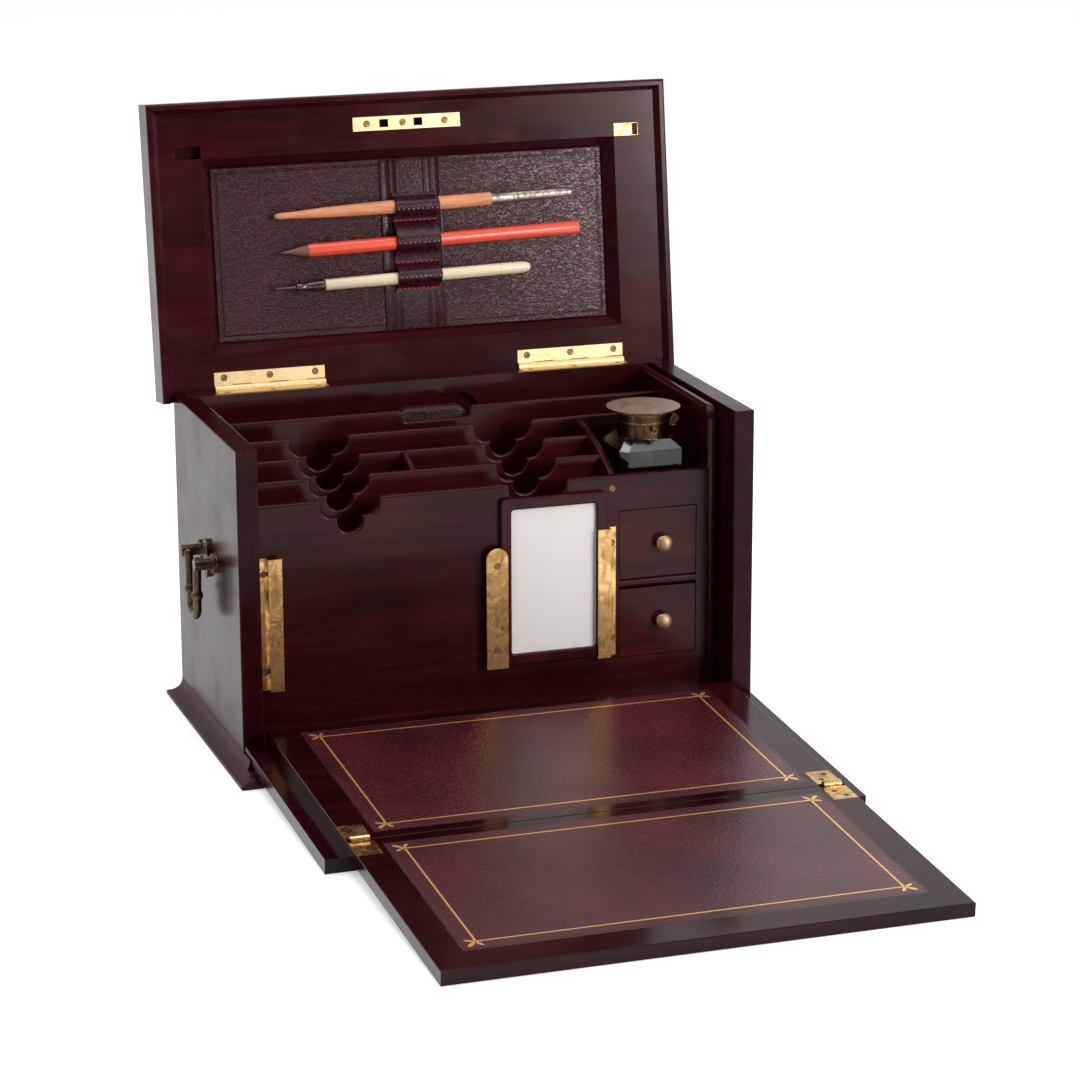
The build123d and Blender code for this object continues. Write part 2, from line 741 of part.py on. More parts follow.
# ---- drawers ----------------------------------------------------------------------------------
knob_x = (drawer_opening_left + drawer_opening_right) / 2 + knob_offset
drawer_width = drawer_opening_width - 2 * drawer_gap
drawer_depth = drawer_back - rack_front
for name, bottom in zip(("lower", "upper"), drawer_bottoms):
    low = level(bottom) + drawer_gap
    high = level(bottom + drawer_opening_height) - 2 * drawer_gap
    knob_z = (low + high) / 2
    with BuildPart() as drawer:
        with BuildSketch(Plane.XY.offset(low)):
            with Locations((drawer_opening_left + drawer_gap, rack_front)):
                Rectangle(drawer_width, drawer_depth, align=(Align.MIN, Align.MIN))
        extrude(amount=high - low)
        with BuildSketch(Plane.XY.offset(high)):
            with Locations((drawer_opening_left, rack_front + drawer_front_thickness)):
                Rectangle(drawer_opening_width, drawer_depth, align=(Align.MIN, Align.MIN))
        extrude(amount=-drawer_side_drop, mode=Mode.SUBTRACT)
        with BuildSketch(Plane.XY.offset(high)):
            with Locations(
                (drawer_opening_left + drawer_gap + drawer_wall, rack_front + drawer_front_thickness)
            ):
                Rectangle(
                    drawer_width - 2 * drawer_wall,
                    drawer_depth - drawer_front_thickness - drawer_wall,
                    align=(Align.MIN, Align.MIN),
                )
        extrude(amount=low + drawer_wall - high, mode=Mode.SUBTRACT)
        drill(facing_front(rack_front), [(knob_x, knob_z)], drawer_front_thickness, knob_stud_radius)
        fillet(drawer.faces().sort_by(Axis.Y)[0].outer_wire().edges(), arris / 2)
    finish(drawer, f"drawer_{name}")

    axis_plane = Plane(origin=(knob_x, rack_front, knob_z), x_dir=(1, 0, 0), z_dir=(0, 0, 1))
    with BuildPart() as knob:
        with BuildSketch(axis_plane):
            with BuildLine():
                Polyline(
                    (0, -knob_length),
                    (0, drawer_front_thickness),
                    (knob_stud_radius, drawer_front_thickness),
                    (knob_stud_radius, 0),
                    (knob_foot_radius, 0),
                    (knob_neck_radius, -knob_length * 0.3),
                    (knob_radius, knob_dome - knob_length),
                )
                crown((knob_radius, knob_dome - knob_length), -knob_dome)
            make_face()
        revolve(axis=Axis((knob_x, rack_front, knob_z), (0, 1, 0)))
    finish(knob, f"drawer_knob_{name}")


# ---- brass card channels and the tablet -------------------------------------------------------
def card_channel(x, hand):
    """A Z-shaped brass channel: a base on the rack and a lip that stands off it, facing hand."""
    with BuildPart() as channel:
        with BuildSketch(Plane.XY.offset(level(channel_bottom))):
            with Locations((x, rack_front)):
                base = Align.MAX if hand > 0 else Align.MIN
                Rectangle(channel_base, brass, align=(base, Align.MAX))
                Rectangle(brass, card_gap + brass, align=(base, Align.MAX))
            with Locations((x - hand * brass, lip_front)):
                lip = Align.MIN if hand > 0 else Align.MAX
                Rectangle(channel_lip + brass, brass, align=(lip, Align.MIN))
        extrude(amount=channel_height)
        with BuildSketch(Plane.XY.offset(level(channel_bottom))):
            with Locations((x - hand * brass, rack_front)):
                Rectangle(channel_lip, card_gap + brass, align=(lip, Align.MAX))
        extrude(amount=brass)
        points = channel_points(x - hand * channel_screw_inset)
        drill(facing_front(rack_front - brass), points, brass, screw_head_radius)
    return channel


channel_left = card_channel(left_channel_x, 1)
channel_right = card_channel(right_channel_x, -1)
finish(channel_left, "channel_left")
finish(channel_right, "channel_right")

middle_straight = middle_channel_height - middle_channel_width / 2
with BuildPart() as channel_middle:
    with BuildSketch(facing_front(lip_front + brass)):
        with Locations((middle_channel_x, level(channel_bottom))):
            Rectangle(middle_channel_width, middle_straight, align=(Align.CENTER, Align.MIN))
        with Locations((middle_channel_x, level(channel_bottom) + middle_straight)):
            Circle(middle_channel_width / 2)
    extrude(amount=brass)
    with BuildSketch(facing_front(rack_front)):
        with Locations((middle_channel_x, level(channel_bottom))):
            Rectangle(middle_web, middle_straight, align=(Align.CENTER, Align.MIN))
            Rectangle(middle_channel_width - 2 * brass, brass, align=(Align.CENTER, Align.MIN))
    extrude(amount=card_gap)
    drill(facing_front(lip_front), middle_points, brass, screw_head_radius)
    drill(facing_front(lip_front), middle_points, card_gap + 2 * brass, screw_shank_radius)
finish(channel_middle, "channel_middle")

with BuildPart() as carcass_screws:
    set_screws(facing_front(rack_front - brass), side_channel_points, brass)
    set_screws(facing_front(lip_front), middle_points, brass)
    set_screws(facing_front(rack_front), [front_screw], brass)
    set_screws(lid_hinge_lower.offset(-clearance), lid_hinge_points, hinge_plate)
finish(carcass_screws, "carcass_screws")

tablet_back = rack_front - easy
tablet_bottom = level(channel_bottom) + brass
tablet_middle = (tablet_left + tablet_width / 2, tablet_bottom + tablet_height / 2)
tablet_sight = tablet_rail - tablet_rebate  # from the frame's edge to the panel's
tablet_panel_size = (tablet_width - 2 * tablet_sight, tablet_height - 2 * tablet_sight)
with BuildPart() as tablet_frame:
    with BuildSketch(facing_front(tablet_back)):
        with Locations(tablet_middle):
            RectangleRounded(tablet_width, tablet_height, tablet_rail / 3)
            RectangleRounded(
                tablet_width - 2 * tablet_rail,
                tablet_height - 2 * tablet_rail,
                tablet_rail / 3,
                mode=Mode.SUBTRACT,
            )
    extrude(amount=tablet_thickness)
    with BuildSketch(facing_front(tablet_back)):
        with Locations(tablet_middle):
            Rectangle(*tablet_panel_size)
    extrude(amount=tablet_panel_thickness, mode=Mode.SUBTRACT)
    fillet(tablet_frame.faces().sort_by(Axis.Y)[0].edges(), tablet_arris)
finish(tablet_frame, "tablet_frame")

with BuildPart() as tablet_panel:
    with BuildSketch(facing_front(tablet_back)):
        with Locations(tablet_middle):
            Rectangle(*tablet_panel_size)
    extrude(amount=tablet_panel_thickness)
finish(tablet_panel, "tablet_panel")

# ---- inkwell ----------------------------------------------------------------------------------
inkwell_floor = level(shelf_top)
inkwell_axis = Axis((inkwell_x, inkwell_y, 0), (0, 0, 1))
body_top = inkwell_floor + inkwell_body
neck_bottom = body_top + inkwell_shoulder
neck_top = neck_bottom + inkwell_neck
with BuildPart() as inkwell_glass:
    with BuildSketch(Plane((inkwell_x, inkwell_y, inkwell_floor))) as foot:
        Rectangle(inkwell_side, inkwell_side)
        chamfer(foot.vertices(), inkwell_corner)
    extrude(amount=inkwell_body)
    for plane, side, corner in (
        (Plane((inkwell_x, inkwell_y, body_top)), inkwell_side, inkwell_corner),
        (Plane((inkwell_x, inkwell_y, neck_bottom)), inkwell_side - 2 * inkwell_shoulder, inkwell_corner),
    ):
        with BuildSketch(plane) as step_outline:
            Rectangle(side, side)
            chamfer(step_outline.vertices(), corner)
    loft()
    with BuildSketch(Plane((inkwell_x, inkwell_y, neck_bottom))):
        Circle(inkwell_neck_radius)
    extrude(amount=inkwell_neck)
    with BuildSketch(Plane((inkwell_x, inkwell_y, neck_top))):
        Circle(inkwell_bore)
    extrude(amount=inkwell_floor + inkwell_bottom - neck_top, mode=Mode.SUBTRACT)
finish(inkwell_glass, "inkwell_glass")

collar_top = neck_bottom + collar_height
cap_pin = (inkwell_x + cap_hinge_reach, inkwell_y, collar_top + easy)
cap_pin_plane = Plane(origin=cap_pin, x_dir=(1, 0, 0), z_dir=(0, -1, 0))
with BuildPart() as inkwell_collar:
    with BuildSketch(Plane((inkwell_x, inkwell_y, neck_bottom))):
        Circle(collar_radius)
        Circle(inkwell_neck_radius, mode=Mode.SUBTRACT)
    extrude(amount=inkwell_neck)
    with BuildSketch(Plane((inkwell_x, inkwell_y, neck_top))):
        Circle(collar_radius)
        Circle(inkwell_bore, mode=Mode.SUBTRACT)
    extrude(amount=collar_top - neck_top)
    for side in (-1, 1):
        with BuildSketch(cap_pin_plane.offset(side * collar_lug_place)):
            Circle(lug_radius)
            with Locations((-collar_lug_web / 2, -lug_radius)):
                Rectangle(collar_lug_web, 2 * (lug_radius - easy))
        extrude(amount=collar_lug_half, both=True)
    with BuildSketch(cap_pin_plane):
        Circle(cap_pin_radius)
    extrude(amount=cap_pin_reach, both=True)
    neck_front = (inkwell_x, inkwell_y - inkwell_neck_radius, neck_top)
    with BuildSketch(Plane(origin=neck_front, z_dir=(0, -1, 0))):
        Circle(catch_radius)
    extrude(amount=collar_radius - inkwell_neck_radius + catch_length)
finish(inkwell_collar, "inkwell_collar")

drum_bottom = collar_top + easy
with BuildPart() as inkwell_cap:
    with BuildSketch(Plane(origin=(inkwell_x, inkwell_y, drum_bottom), x_dir=(1, 0, 0), z_dir=(0, -1, 0))):
        with BuildLine():
            Polyline(
                (0, cap_drum_height + cap_height),
                (0, cap_drum_height - cap_hollow),
                (cap_drum_radius - cap_skirt, cap_drum_height - cap_hollow),
                (cap_drum_radius - cap_skirt, 0),
                (cap_drum_radius, 0),
                (cap_drum_radius, cap_drum_height - cap_flare),
                (cap_radius, cap_drum_height),
                (cap_radius, cap_drum_height + cap_height - cap_dome),
            )
            crown((cap_radius, cap_drum_height + cap_height - cap_dome), cap_dome)
        make_face()
    revolve(axis=inkwell_axis)
    with BuildSketch(cap_pin_plane):
        Circle(lug_radius)
        with Locations((-lug_radius, lug_radius - running)):
            Rectangle(cap_lug_web, lug_radius)
    extrude(amount=cap_lug_half, both=True)
    with BuildSketch(cap_pin_plane):
        Circle(cap_pin_radius + running)
    extrude(amount=cap_pin_reach, both=True, mode=Mode.SUBTRACT)
finish(inkwell_cap, "inkwell_cap")

# ---- hinges on the case -----------------------------------------------------------------------
lid_hinge_lower_leaves = hinge_half(
    lid_hinge_lower, *lid_hinge_fit, lid_knuckles, 0, clearance, screws=lid_hinge_points
)
finish(lid_hinge_lower_leaves, "lid_hinge_lower_leaves")

fall_hinge_floor_leaves = hinge_half(fall_hinge_floor, *fall_hinge_fit, fall_knuckles, 1, clearance)
finish(fall_hinge_floor_leaves, "fall_hinge_floor_leaves")

with BuildPart() as hinge_pins:
    for plane, centres, length in (
        (lid_hinge_upper, lid_hinge_centres, lid_hinge_length),
        (fall_hinge_floor, fall_centres, fall_hinge_length),
    ):
        for centre in centres:
            with BuildSketch(across(plane, centre, 0)):
                Circle(pin_radius)
            extrude(amount=length / 2, both=True)
finish(hinge_pins, "hinge_pins")

# ---- lid --------------------------------------------------------------------------------------
lid_middle = (lid_front_v - lid_back_overhang) / 2
lid_size = (2 * lid_half_width, lid_front_v + lid_back_overhang)
with BuildPart() as lid_top:
    with BuildSketch(lid_plane.offset(-recess_depth)):
        with Locations((0, lid_middle)):
            Rectangle(*lid_size)
    extrude(amount=recess_depth - lid_thickness)
    outer_face = lid_top.faces().filter_by(lid_plane).sort_by(Axis(lid_plane.origin, lid_plane.z_dir))[0]
    fillet(outer_face.edges(), lid_edge_radius)
    let_in(lid_hinge_upper, *lid_hinge_fit, 0)
finish(lid_top, "lid_top")

with BuildPart() as lid_frame:
    with BuildSketch(lid_plane.offset(-recess_depth)):
        with Locations((0, lid_middle)):
            Rectangle(*lid_size)
    extrude(amount=recess_depth + rim_height)
    rim_face = lid_frame.faces().filter_by(lid_plane).sort_by(Axis(lid_plane.origin, lid_plane.z_dir))[-1]
    rim_edges = rim_face.edges().sort_by(Axis(lid_plane.origin, lid_plane.y_dir))[1:]
    fillet(rim_edges, rim_height / 3)
    with BuildSketch(lid_plane):
        with Locations((0, rim_front_v)):
            Rectangle(2 * rim_half_width, 2 * rim_front_v, align=(Align.CENTER, Align.MAX))
    extrude(amount=2 * rim_height, taper=-rim_slope, mode=Mode.SUBTRACT)
    recess_middle = (recess_low + recess_high) / 2
    with BuildSketch(lid_plane):
        with Locations((0, recess_middle)):
            Rectangle(2 * recess_half_width, recess_high - recess_low)
    with BuildSketch(lid_plane.offset(-recess_depth)):
        with Locations((0, recess_middle)):
            Rectangle(2 * (recess_half_width - recess_bevel), recess_high - recess_low - 2 * recess_bevel)
    loft(mode=Mode.SUBTRACT)
    let_in(lid_hinge_upper, *lid_hinge_fit, 0)
    drill(lid_plane, lid_hinge_points, hinge_plate + screw_length, screw_shank_radius)
    with BuildSketch(lid_plane):
        with Locations((striker_centre, striker_v)):
            Rectangle(striker_length, striker_width)
    extrude(amount=-hinge_plate, mode=Mode.SUBTRACT)
    with BuildSketch(lid_plane):
        with Locations(*[(striker_centre + x, striker_v) for x in striker_slots]):
            Rectangle(*striker_slot_size)
        with Locations((-mortise_inner, mortise_v)):
            Rectangle(mortise_length, mortise_width, align=(Align.MAX, Align.CENTER))
        with Locations((mortise_inner, mortise_v)):
            Rectangle(mortise_length, mortise_width, align=(Align.MIN, Align.CENTER))
    extrude(amount=-mortise_depth, mode=Mode.SUBTRACT)
    striker_points = [(striker_centre + x, striker_v) for x in striker_screws]
    drill(lid_plane, striker_points, hinge_plate + screw_length, screw_shank_radius)
finish(lid_frame, "lid_frame")

with BuildPart() as striker_plate:
    with BuildSketch(lid_plane):
        with Locations((striker_centre, striker_v)):
            Rectangle(striker_length, striker_width)
        with Locations(*[(striker_centre + x, striker_v) for x in striker_slots]):
            Rectangle(*striker_slot_size, mode=Mode.SUBTRACT)
        with Locations(*striker_points):
            Circle(screw_head_radius, mode=Mode.SUBTRACT)
    extrude(amount=-hinge_plate)
finish(striker_plate, "striker_plate")

lid_hinge_upper_leaves = hinge_half(
    lid_hinge_upper, *lid_hinge_fit, lid_knuckles, 0, 0, screws=lid_hinge_points
)
finish(lid_hinge_upper_leaves, "lid_hinge_upper_leaves")

with BuildPart() as lid_screws:
    set_screws(lid_plane, lid_hinge_points + striker_points, hinge_plate)
finish(lid_screws, "lid_screws")

leather_floor = lid_plane.offset(-recess_depth)
with BuildPart() as lid_leather:
    with BuildSketch(leather_floor):
        with Locations((0, recess_middle)):
            Rectangle(
                2 * (recess_half_width - recess_bevel - leather_gap),
                recess_high - recess_low - 2 * (recess_bevel + leather_gap),
            )
    extrude(amount=lid_leather_thickness)
finish(lid_leather, "lid_leather")

# ---- pen strap and pens -----------------------------------------------------------------------
band_floor = leather_floor.offset(lid_leather_thickness)
pen_floor = band_floor.offset(strap_thickness + easy)
pens = ((dip_pen_v, dip_pen_radius), (pencil_v, pencil_radius), (ivory_pen_v, ivory_pen_radius))


def loop_outline(grow, foot):
    """Arches over the three pens, in the sketch being built across the strap, none below its foot."""
    for v, radius in pens:
        width = 2 * (radius + grow)
        with Locations((v, strap_thickness + easy + radius)):
            Circle(width / 2)
        with Locations((v, foot)):
            Rectangle(width, strap_thickness + easy + radius - foot, align=(Align.CENTER, Align.MIN))
            Rectangle(2 * width, width, align=(Align.CENTER, Align.MAX), mode=Mode.SUBTRACT)


loops_reach = dip_pen_v - ivory_pen_v + 3 * dip_pen_radius
with BuildPart() as pen_strap:
    with BuildSketch(band_floor):
        with Locations((strap_centre, recess_middle)):
            Rectangle(strap_width, recess_high - recess_low - 2 * (recess_bevel + 2 * leather_gap))
    extrude(amount=strap_thickness)
    with BuildSketch(across(band_floor, loop_centre - loop_width / 2, 0)):
        loop_outline(loop_clearance + loop_leather, 0)
        with Locations(((dip_pen_v + ivory_pen_v) / 2, 0)):
            Rectangle(loops_reach, 2 * strap_thickness, align=(Align.CENTER, Align.MIN))
    extrude(amount=loop_width)
    with BuildSketch(across(band_floor, loop_centre - loop_width / 2, 0)):
        loop_outline(loop_clearance, strap_thickness)
    extrude(amount=loop_width, mode=Mode.SUBTRACT)
finish(pen_strap, "pen_strap")


def pen(v, radius, left, right, outline):
    """A turned pen in its loop; the outline lists (share of its length, share of its radius)."""
    start = left - loop_centre
    turning = [(start + share * (right - left), radius * size) for share, size in outline]
    middle = pen_floor.from_local_coords((loop_centre, v, radius))
    along = pen_floor.x_dir * cos(radians(pen_tilt)) + pen_floor.y_dir * sin(radians(pen_tilt))
    lying = Plane(origin=middle, x_dir=along, z_dir=pen_floor.z_dir)
    with BuildPart() as turned:
        with BuildSketch(lying):
            with BuildLine():
                Polyline((start, 0), *turning, (right - loop_centre, 0), close=True)
            make_face()
        revolve(axis=Axis(lying.origin, lying.x_dir))
    return turned


dip_pen_outline = (
    (0, 0.3),
    (0.05, 0.55),
    (0.16, 0.78),
    (0.3, 0.93),
    (0.4, 1),
    (0.72, 1),
    (0.72, 0.83),
    (0.95, 0.75),
    (0.99, 0.65),
    (1, 0.4),
)
pencil_outline = ((0, 0.1), (0.03, 0.34), (0.095, 1), (0.997, 1), (1, 0.87))
ivory_pen_outline = (
    (0, 0.11),
    (0.05, 0.37),
    (0.085, 0.46),
    (0.085, 0.74),
    (0.19, 0.86),
    (0.19, 0.94),
    (0.42, 1),
    (0.87, 1),
    (0.98, 0.83),
    (1, 0.43),
)
dip_pen = pen(dip_pen_v, dip_pen_radius, dip_pen_left, dip_pen_right, dip_pen_outline)
pencil = pen(pencil_v, pencil_radius, pencil_left, pencil_right, pencil_outline)
ivory_pen = pen(ivory_pen_v, ivory_pen_radius, ivory_pen_left, ivory_pen_right, ivory_pen_outline)
finish(dip_pen, "dip_pen")
finish(pencil, "pencil")
finish(ivory_pen, "ivory_pen")

# ---- fall -------------------------------------------------------------------------------------
with BuildPart() as fall_board:
    with BuildSketch(fall_plane):
        with Locations((0, -fall_start)):
            Rectangle(fall_width, fall_length - fall_start, align=(Align.CENTER, Align.MAX))
    extrude(amount=-fall_thickness)
    under = fall_board.faces().filter_by(fall_plane).sort_by(Axis(fall_plane.origin, fall_plane.z_dir))[0]
    fillet(under.edges().sort_by(Axis(fall_plane.origin, fall_plane.y_dir))[:3], arris)
    let_in(fall_hinge_board, *fall_hinge_fit, fall_start)
    with BuildSketch(fall_plane.offset(-(fall_thickness - lock_thickness) / 2)):
        with Locations((striker_centre, -fall_length)):
            Rectangle(lock_length, lock_depth, align=(Align.CENTER, Align.MIN))
    extrude(amount=-lock_thickness, mode=Mode.SUBTRACT)
    keyhole = [(striker_centre, keyhole_setback - fall_length)]
    drill(fall_plane.offset(-fall_thickness / 2), keyhole, fall_thickness, keyhole_radius)
finish(fall_board, "fall_board")

with BuildPart() as lock_case:
    with BuildSketch(fall_plane.offset(-(fall_thickness - lock_thickness) / 2)):
        with Locations((striker_centre, -fall_length)):
            Rectangle(lock_length, lock_depth, align=(Align.CENTER, Align.MIN))
    extrude(amount=-lock_thickness)
    drill(fall_plane.offset(-fall_thickness / 2), keyhole, fall_thickness, keyhole_radius)
    fall_end = fall_plane.from_local_coords((0, -fall_length, 0))
    with BuildSketch(Plane(origin=fall_end, x_dir=(1, 0, 0), z_dir=-fall_plane.y_dir)):
        with Locations(*[(striker_centre + x, fall_thickness / 2) for x in striker_slots]):
            Rectangle(striker_slot_size[0], lock_thickness / 2)
    extrude(amount=-mortise_depth, mode=Mode.SUBTRACT)
finish(lock_case, "lock_case")

fall_hinge_board_leaves = hinge_half(fall_hinge_board, *fall_hinge_fit, fall_knuckles, 0, fall_start)
finish(fall_hinge_board_leaves, "fall_hinge_board_leaves")


def leather_bed(near, far, mode):
    """The leather's field on a leaf, from near to far along the fall."""
    with BuildSketch(fall_plane.offset(leaf_thickness)) as field:
        with Locations((0, -(near + far) / 2)):
            Rectangle(2 * leather_half_width, far - near)
    extrude(field.sketch, amount=-leather_thickness, mode=mode)


fold_rear = leaf_fold_depth - clearance
fold_front = leaf_fold_depth + clearance
front_end = leaf_fold_depth + front_leaf_length
rear_leather = (leaf_start + leather_margin_fold, leaf_fold_depth - leather_margin_fold)
front_leather = (leaf_fold_depth + leather_margin_fold, front_end - leather_margin_front)
for name, near, far, leather in (
    ("rear", leaf_start, fold_rear, rear_leather),
    ("front", fold_front, front_end, front_leather),
):
    with BuildPart() as leaf:
        with BuildSketch(fall_plane):
            with Locations((0, -(near + far) / 2)):
                Rectangle(2 * leaf_half_width, far - near)
        extrude(amount=leaf_thickness)
        upper = leaf.faces().filter_by(fall_plane).sort_by(Axis(fall_plane.origin, fall_plane.z_dir))[-1]
        fillet(upper.edges(), leaf_arris)
        leather_bed(*leather, Mode.SUBTRACT)
        if name == "rear":
            let_in(fold_hinge_rear, *fold_hinge_fit, clearance, leaf_knuckle_length)
            let_in(fall_hinge_board, *fall_hinge_fit, clearance)
        else:
            let_in(fold_hinge_front, *fold_hinge_fit, clearance, leaf_knuckle_length)
    finish(leaf, f"writing_leaf_{name}")
    with BuildPart() as skin:
        leather_bed(*leather, Mode.ADD)
    finish(skin, f"leather_{name}")

leaf_hinge_rear_leaves = hinge_half(
    fold_hinge_rear, *fold_hinge_fit, leaf_knuckles, 0, clearance, leaf_knuckle_length
)
leaf_hinge_front_leaves = hinge_half(
    fold_hinge_front, *fold_hinge_fit, leaf_knuckles, 1, clearance, leaf_knuckle_length
)
finish(leaf_hinge_rear_leaves, "leaf_hinge_rear_leaves")
finish(leaf_hinge_front_leaves, "leaf_hinge_front_leaves")
with BuildPart() as leaf_hinge_pins:
    for centre in fold_centres:
        with BuildSketch(across(fold_hinge_rear, centre, 0)):
            Circle(pin_radius)
        extrude(amount=leaf_knuckle_length / 2, both=True)
finish(leaf_hinge_pins, "leaf_hinge_pins")

# ---- handles ----------------------------------------------------------------------------------
arm = handle_span / 2 - bail_inset
bail_corners = [(-bail_foot / 2, -bail_drop), (bail_foot / 2, -bail_drop)]
posts = [(-handle_span / 2, 0), (handle_span / 2, 0)]


def handle_plane(hand, standoff):
    """A plane beside a side of the case, through the handle: local x along the side, local y up."""
    middle = (hand * (half_width + standoff), handle_y, level(handle_z))
    return Plane(origin=middle, x_dir=(0, hand, 0), z_dir=(hand, 0, 0))


with BuildPart() as handle_bosses:
    for hand in (-1, 1):
        side_plane = handle_plane(hand, 0)
        with BuildSketch(side_plane):
            Rectangle(handle_span, handle_bar)
            with Locations(*posts):
                Circle(handle_boss_radius)
            with Locations((0, handle_finial_radius)):
                Circle(handle_finial_radius)
            with Locations((0, -handle_bar)):
                Ellipse(handle_finial_radius, 2 * handle_bar)
        extrude(amount=handle_plate)
        with BuildSketch(side_plane):
            with Locations(*posts):
                Circle(handle_post_radius)
        extrude(amount=handle_standoff + handle_post_radius)
        with BuildSketch(across(side_plane, 0, 0, handle_standoff)):
            Circle(handle_pin_radius + running)
        extrude(amount=handle_span / 2 + handle_post_radius / 2, both=True, mode=Mode.SUBTRACT)
finish(handle_bosses, "handle_bosses")

for name, hand in (("left", -1), ("right", 1)):
    bail_plane = handle_plane(hand, handle_standoff)
    knop_reach = arm * (1 - knop_share) + bail_foot / 2 * knop_share
    with BuildPart() as bail:
        with BuildLine(bail_plane) as path:
            FilletPolyline((-arm, 0), *bail_corners, (arm, 0), radius=bail_bend)
        with BuildSketch(Plane(origin=path.line @ 0, z_dir=path.line % 0)):
            Circle(bail_radius)
        sweep()
        for side in (-1, 1):
            with BuildSketch(across(bail_plane, side * (arm - bail_radius / 2), 0)):
                Circle(handle_pin_radius)
            extrude(amount=side * (bail_inset + bail_radius / 2 + handle_post_radius / 4))
            with Locations(bail_plane.from_local_coords((side * arm, 0, 0))):
                Sphere(bail_shoulder)
            with Locations(bail_plane.from_local_coords((side * knop_reach, -bail_drop * knop_share, 0))):
                Sphere(knop_radius)
    finish(bail, f"handle_bail_{name}")

# ---- leather case in the rear compartment -----------------------------------------------------
case_front = divider_fronts[3] + divider_thickness + easy
case_foot = floor_level + clearance
with BuildPart() as leather_case:
    with BuildSketch(facing_front(case_front)) as case_outline:
        with Locations((case_centre, case_foot)):
            Rectangle(case_width, level(case_top) - case_foot, align=(Align.CENTER, Align.MIN))
        fillet(case_outline.vertices().group_by(Axis.Y)[-1], case_width / 5)
    extrude(amount=-case_thickness)
    fillet(leather_case.edges().filter_by(Axis.Y, reverse=True), case_thickness / 4)
finish(leather_case, "leather_case")
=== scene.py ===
import json
import math

import bmesh
import bpy
from mathutils import Matrix, Vector


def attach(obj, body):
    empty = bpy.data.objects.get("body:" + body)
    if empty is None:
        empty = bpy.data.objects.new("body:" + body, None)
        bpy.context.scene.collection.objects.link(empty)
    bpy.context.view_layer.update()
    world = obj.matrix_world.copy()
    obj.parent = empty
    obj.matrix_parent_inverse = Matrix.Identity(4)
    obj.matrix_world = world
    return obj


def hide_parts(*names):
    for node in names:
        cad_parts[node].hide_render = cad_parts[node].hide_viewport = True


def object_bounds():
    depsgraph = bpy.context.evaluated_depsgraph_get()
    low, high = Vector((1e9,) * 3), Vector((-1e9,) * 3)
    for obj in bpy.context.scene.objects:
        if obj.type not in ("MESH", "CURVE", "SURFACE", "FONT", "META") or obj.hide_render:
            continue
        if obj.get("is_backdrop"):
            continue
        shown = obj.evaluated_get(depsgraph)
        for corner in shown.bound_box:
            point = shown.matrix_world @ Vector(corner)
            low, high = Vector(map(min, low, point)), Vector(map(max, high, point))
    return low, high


bl_info = {
    "name": "Stationery Box",
    "version": (1, 0, 0),
    "blender": (4, 5, 0),
    "location": "View3D > Sidebar > Stationery Box",
    "description": "Finishes and fits out a Victorian travelling stationery box",
    "category": "Object",
}

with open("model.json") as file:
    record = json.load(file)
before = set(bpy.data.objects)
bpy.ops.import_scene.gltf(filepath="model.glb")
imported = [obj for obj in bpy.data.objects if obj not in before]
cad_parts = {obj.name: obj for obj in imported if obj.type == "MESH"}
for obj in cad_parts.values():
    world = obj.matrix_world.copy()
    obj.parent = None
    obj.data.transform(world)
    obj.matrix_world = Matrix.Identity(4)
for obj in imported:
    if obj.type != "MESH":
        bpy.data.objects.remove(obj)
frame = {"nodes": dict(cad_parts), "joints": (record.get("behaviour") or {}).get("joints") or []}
cad_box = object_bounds()
hinges = {joint["name"]: joint for joint in frame["joints"]}

MM = 0.001
LEAN = math.radians(-hinges["lid_hinge"]["range_deg"][0] - 90.0)
DROOP = math.radians(-hinges["fall_hinge"]["range_deg"][0] - 90.0)


def bench(origin, across, along):
    """Millimetres on a working face, as (across, along, out), placed in the row frame in metres."""
    across, along = Vector(across), Vector(along)
    turn = Matrix((across, along, across.cross(along))).transposed().to_4x4()
    return Matrix.Translation(Vector(origin)) @ turn @ Matrix.Scale(MM, 4)


ACROSS, ALONG, OUT = range(3)
X = (1.0, 0.0, 0.0)
LID = bench(hinges["lid_hinge"]["pos_m"], X, (0.0, math.sin(LEAN), math.cos(LEAN)))
FALL = bench(hinges["fall_hinge"]["pos_m"], X, (0.0, math.cos(DROOP), math.sin(DROOP)))
LEVEL = bench((0.0, 0.0, 0.0), X, (0.0, 1.0, 0.0))
UPRIGHT = bench((0.0, 0.0, 0.0), X, (0.0, 0.0, 1.0))


def corners(points):
    """The low and the high corner of some points."""
    return [Vector(pick(point[i] for point in points) for i in range(3)) for pick in (min, max)]


def extent(node, face):
    """The low and the high corner of a CAD node on a working face."""
    back = face.inverted()
    return corners([back @ vertex.co for vertex in frame["nodes"][node].data.vertices])


# the lid's leather, up from the hinge and out from the inner face, and the pens that lie on it
LEATHER_LOW, LEATHER_HIGH = extent("lid_leather", LID)
LEATHER_FACE = LEATHER_HIGH.z
PEN_TILT = math.radians(1.3)
LOOP_CENTRE = 1.8
PEN_FLOOR = LEATHER_FACE + 1.1
DIP_PEN_V, PENCIL_V, IVORY_PEN_V = 99.5, 78.3, 57.5
# the fields of the leaves' leathers and the fold between the leaves
FIELDS = {leaf: extent(f"leather_{leaf}", FALL) for leaf in ("rear", "front")}
LEAF_TOP = FIELDS["rear"][1].z
FOLD = (FALL.inverted() @ Vector(hinges["leaf_fold"]["pos_m"])).y


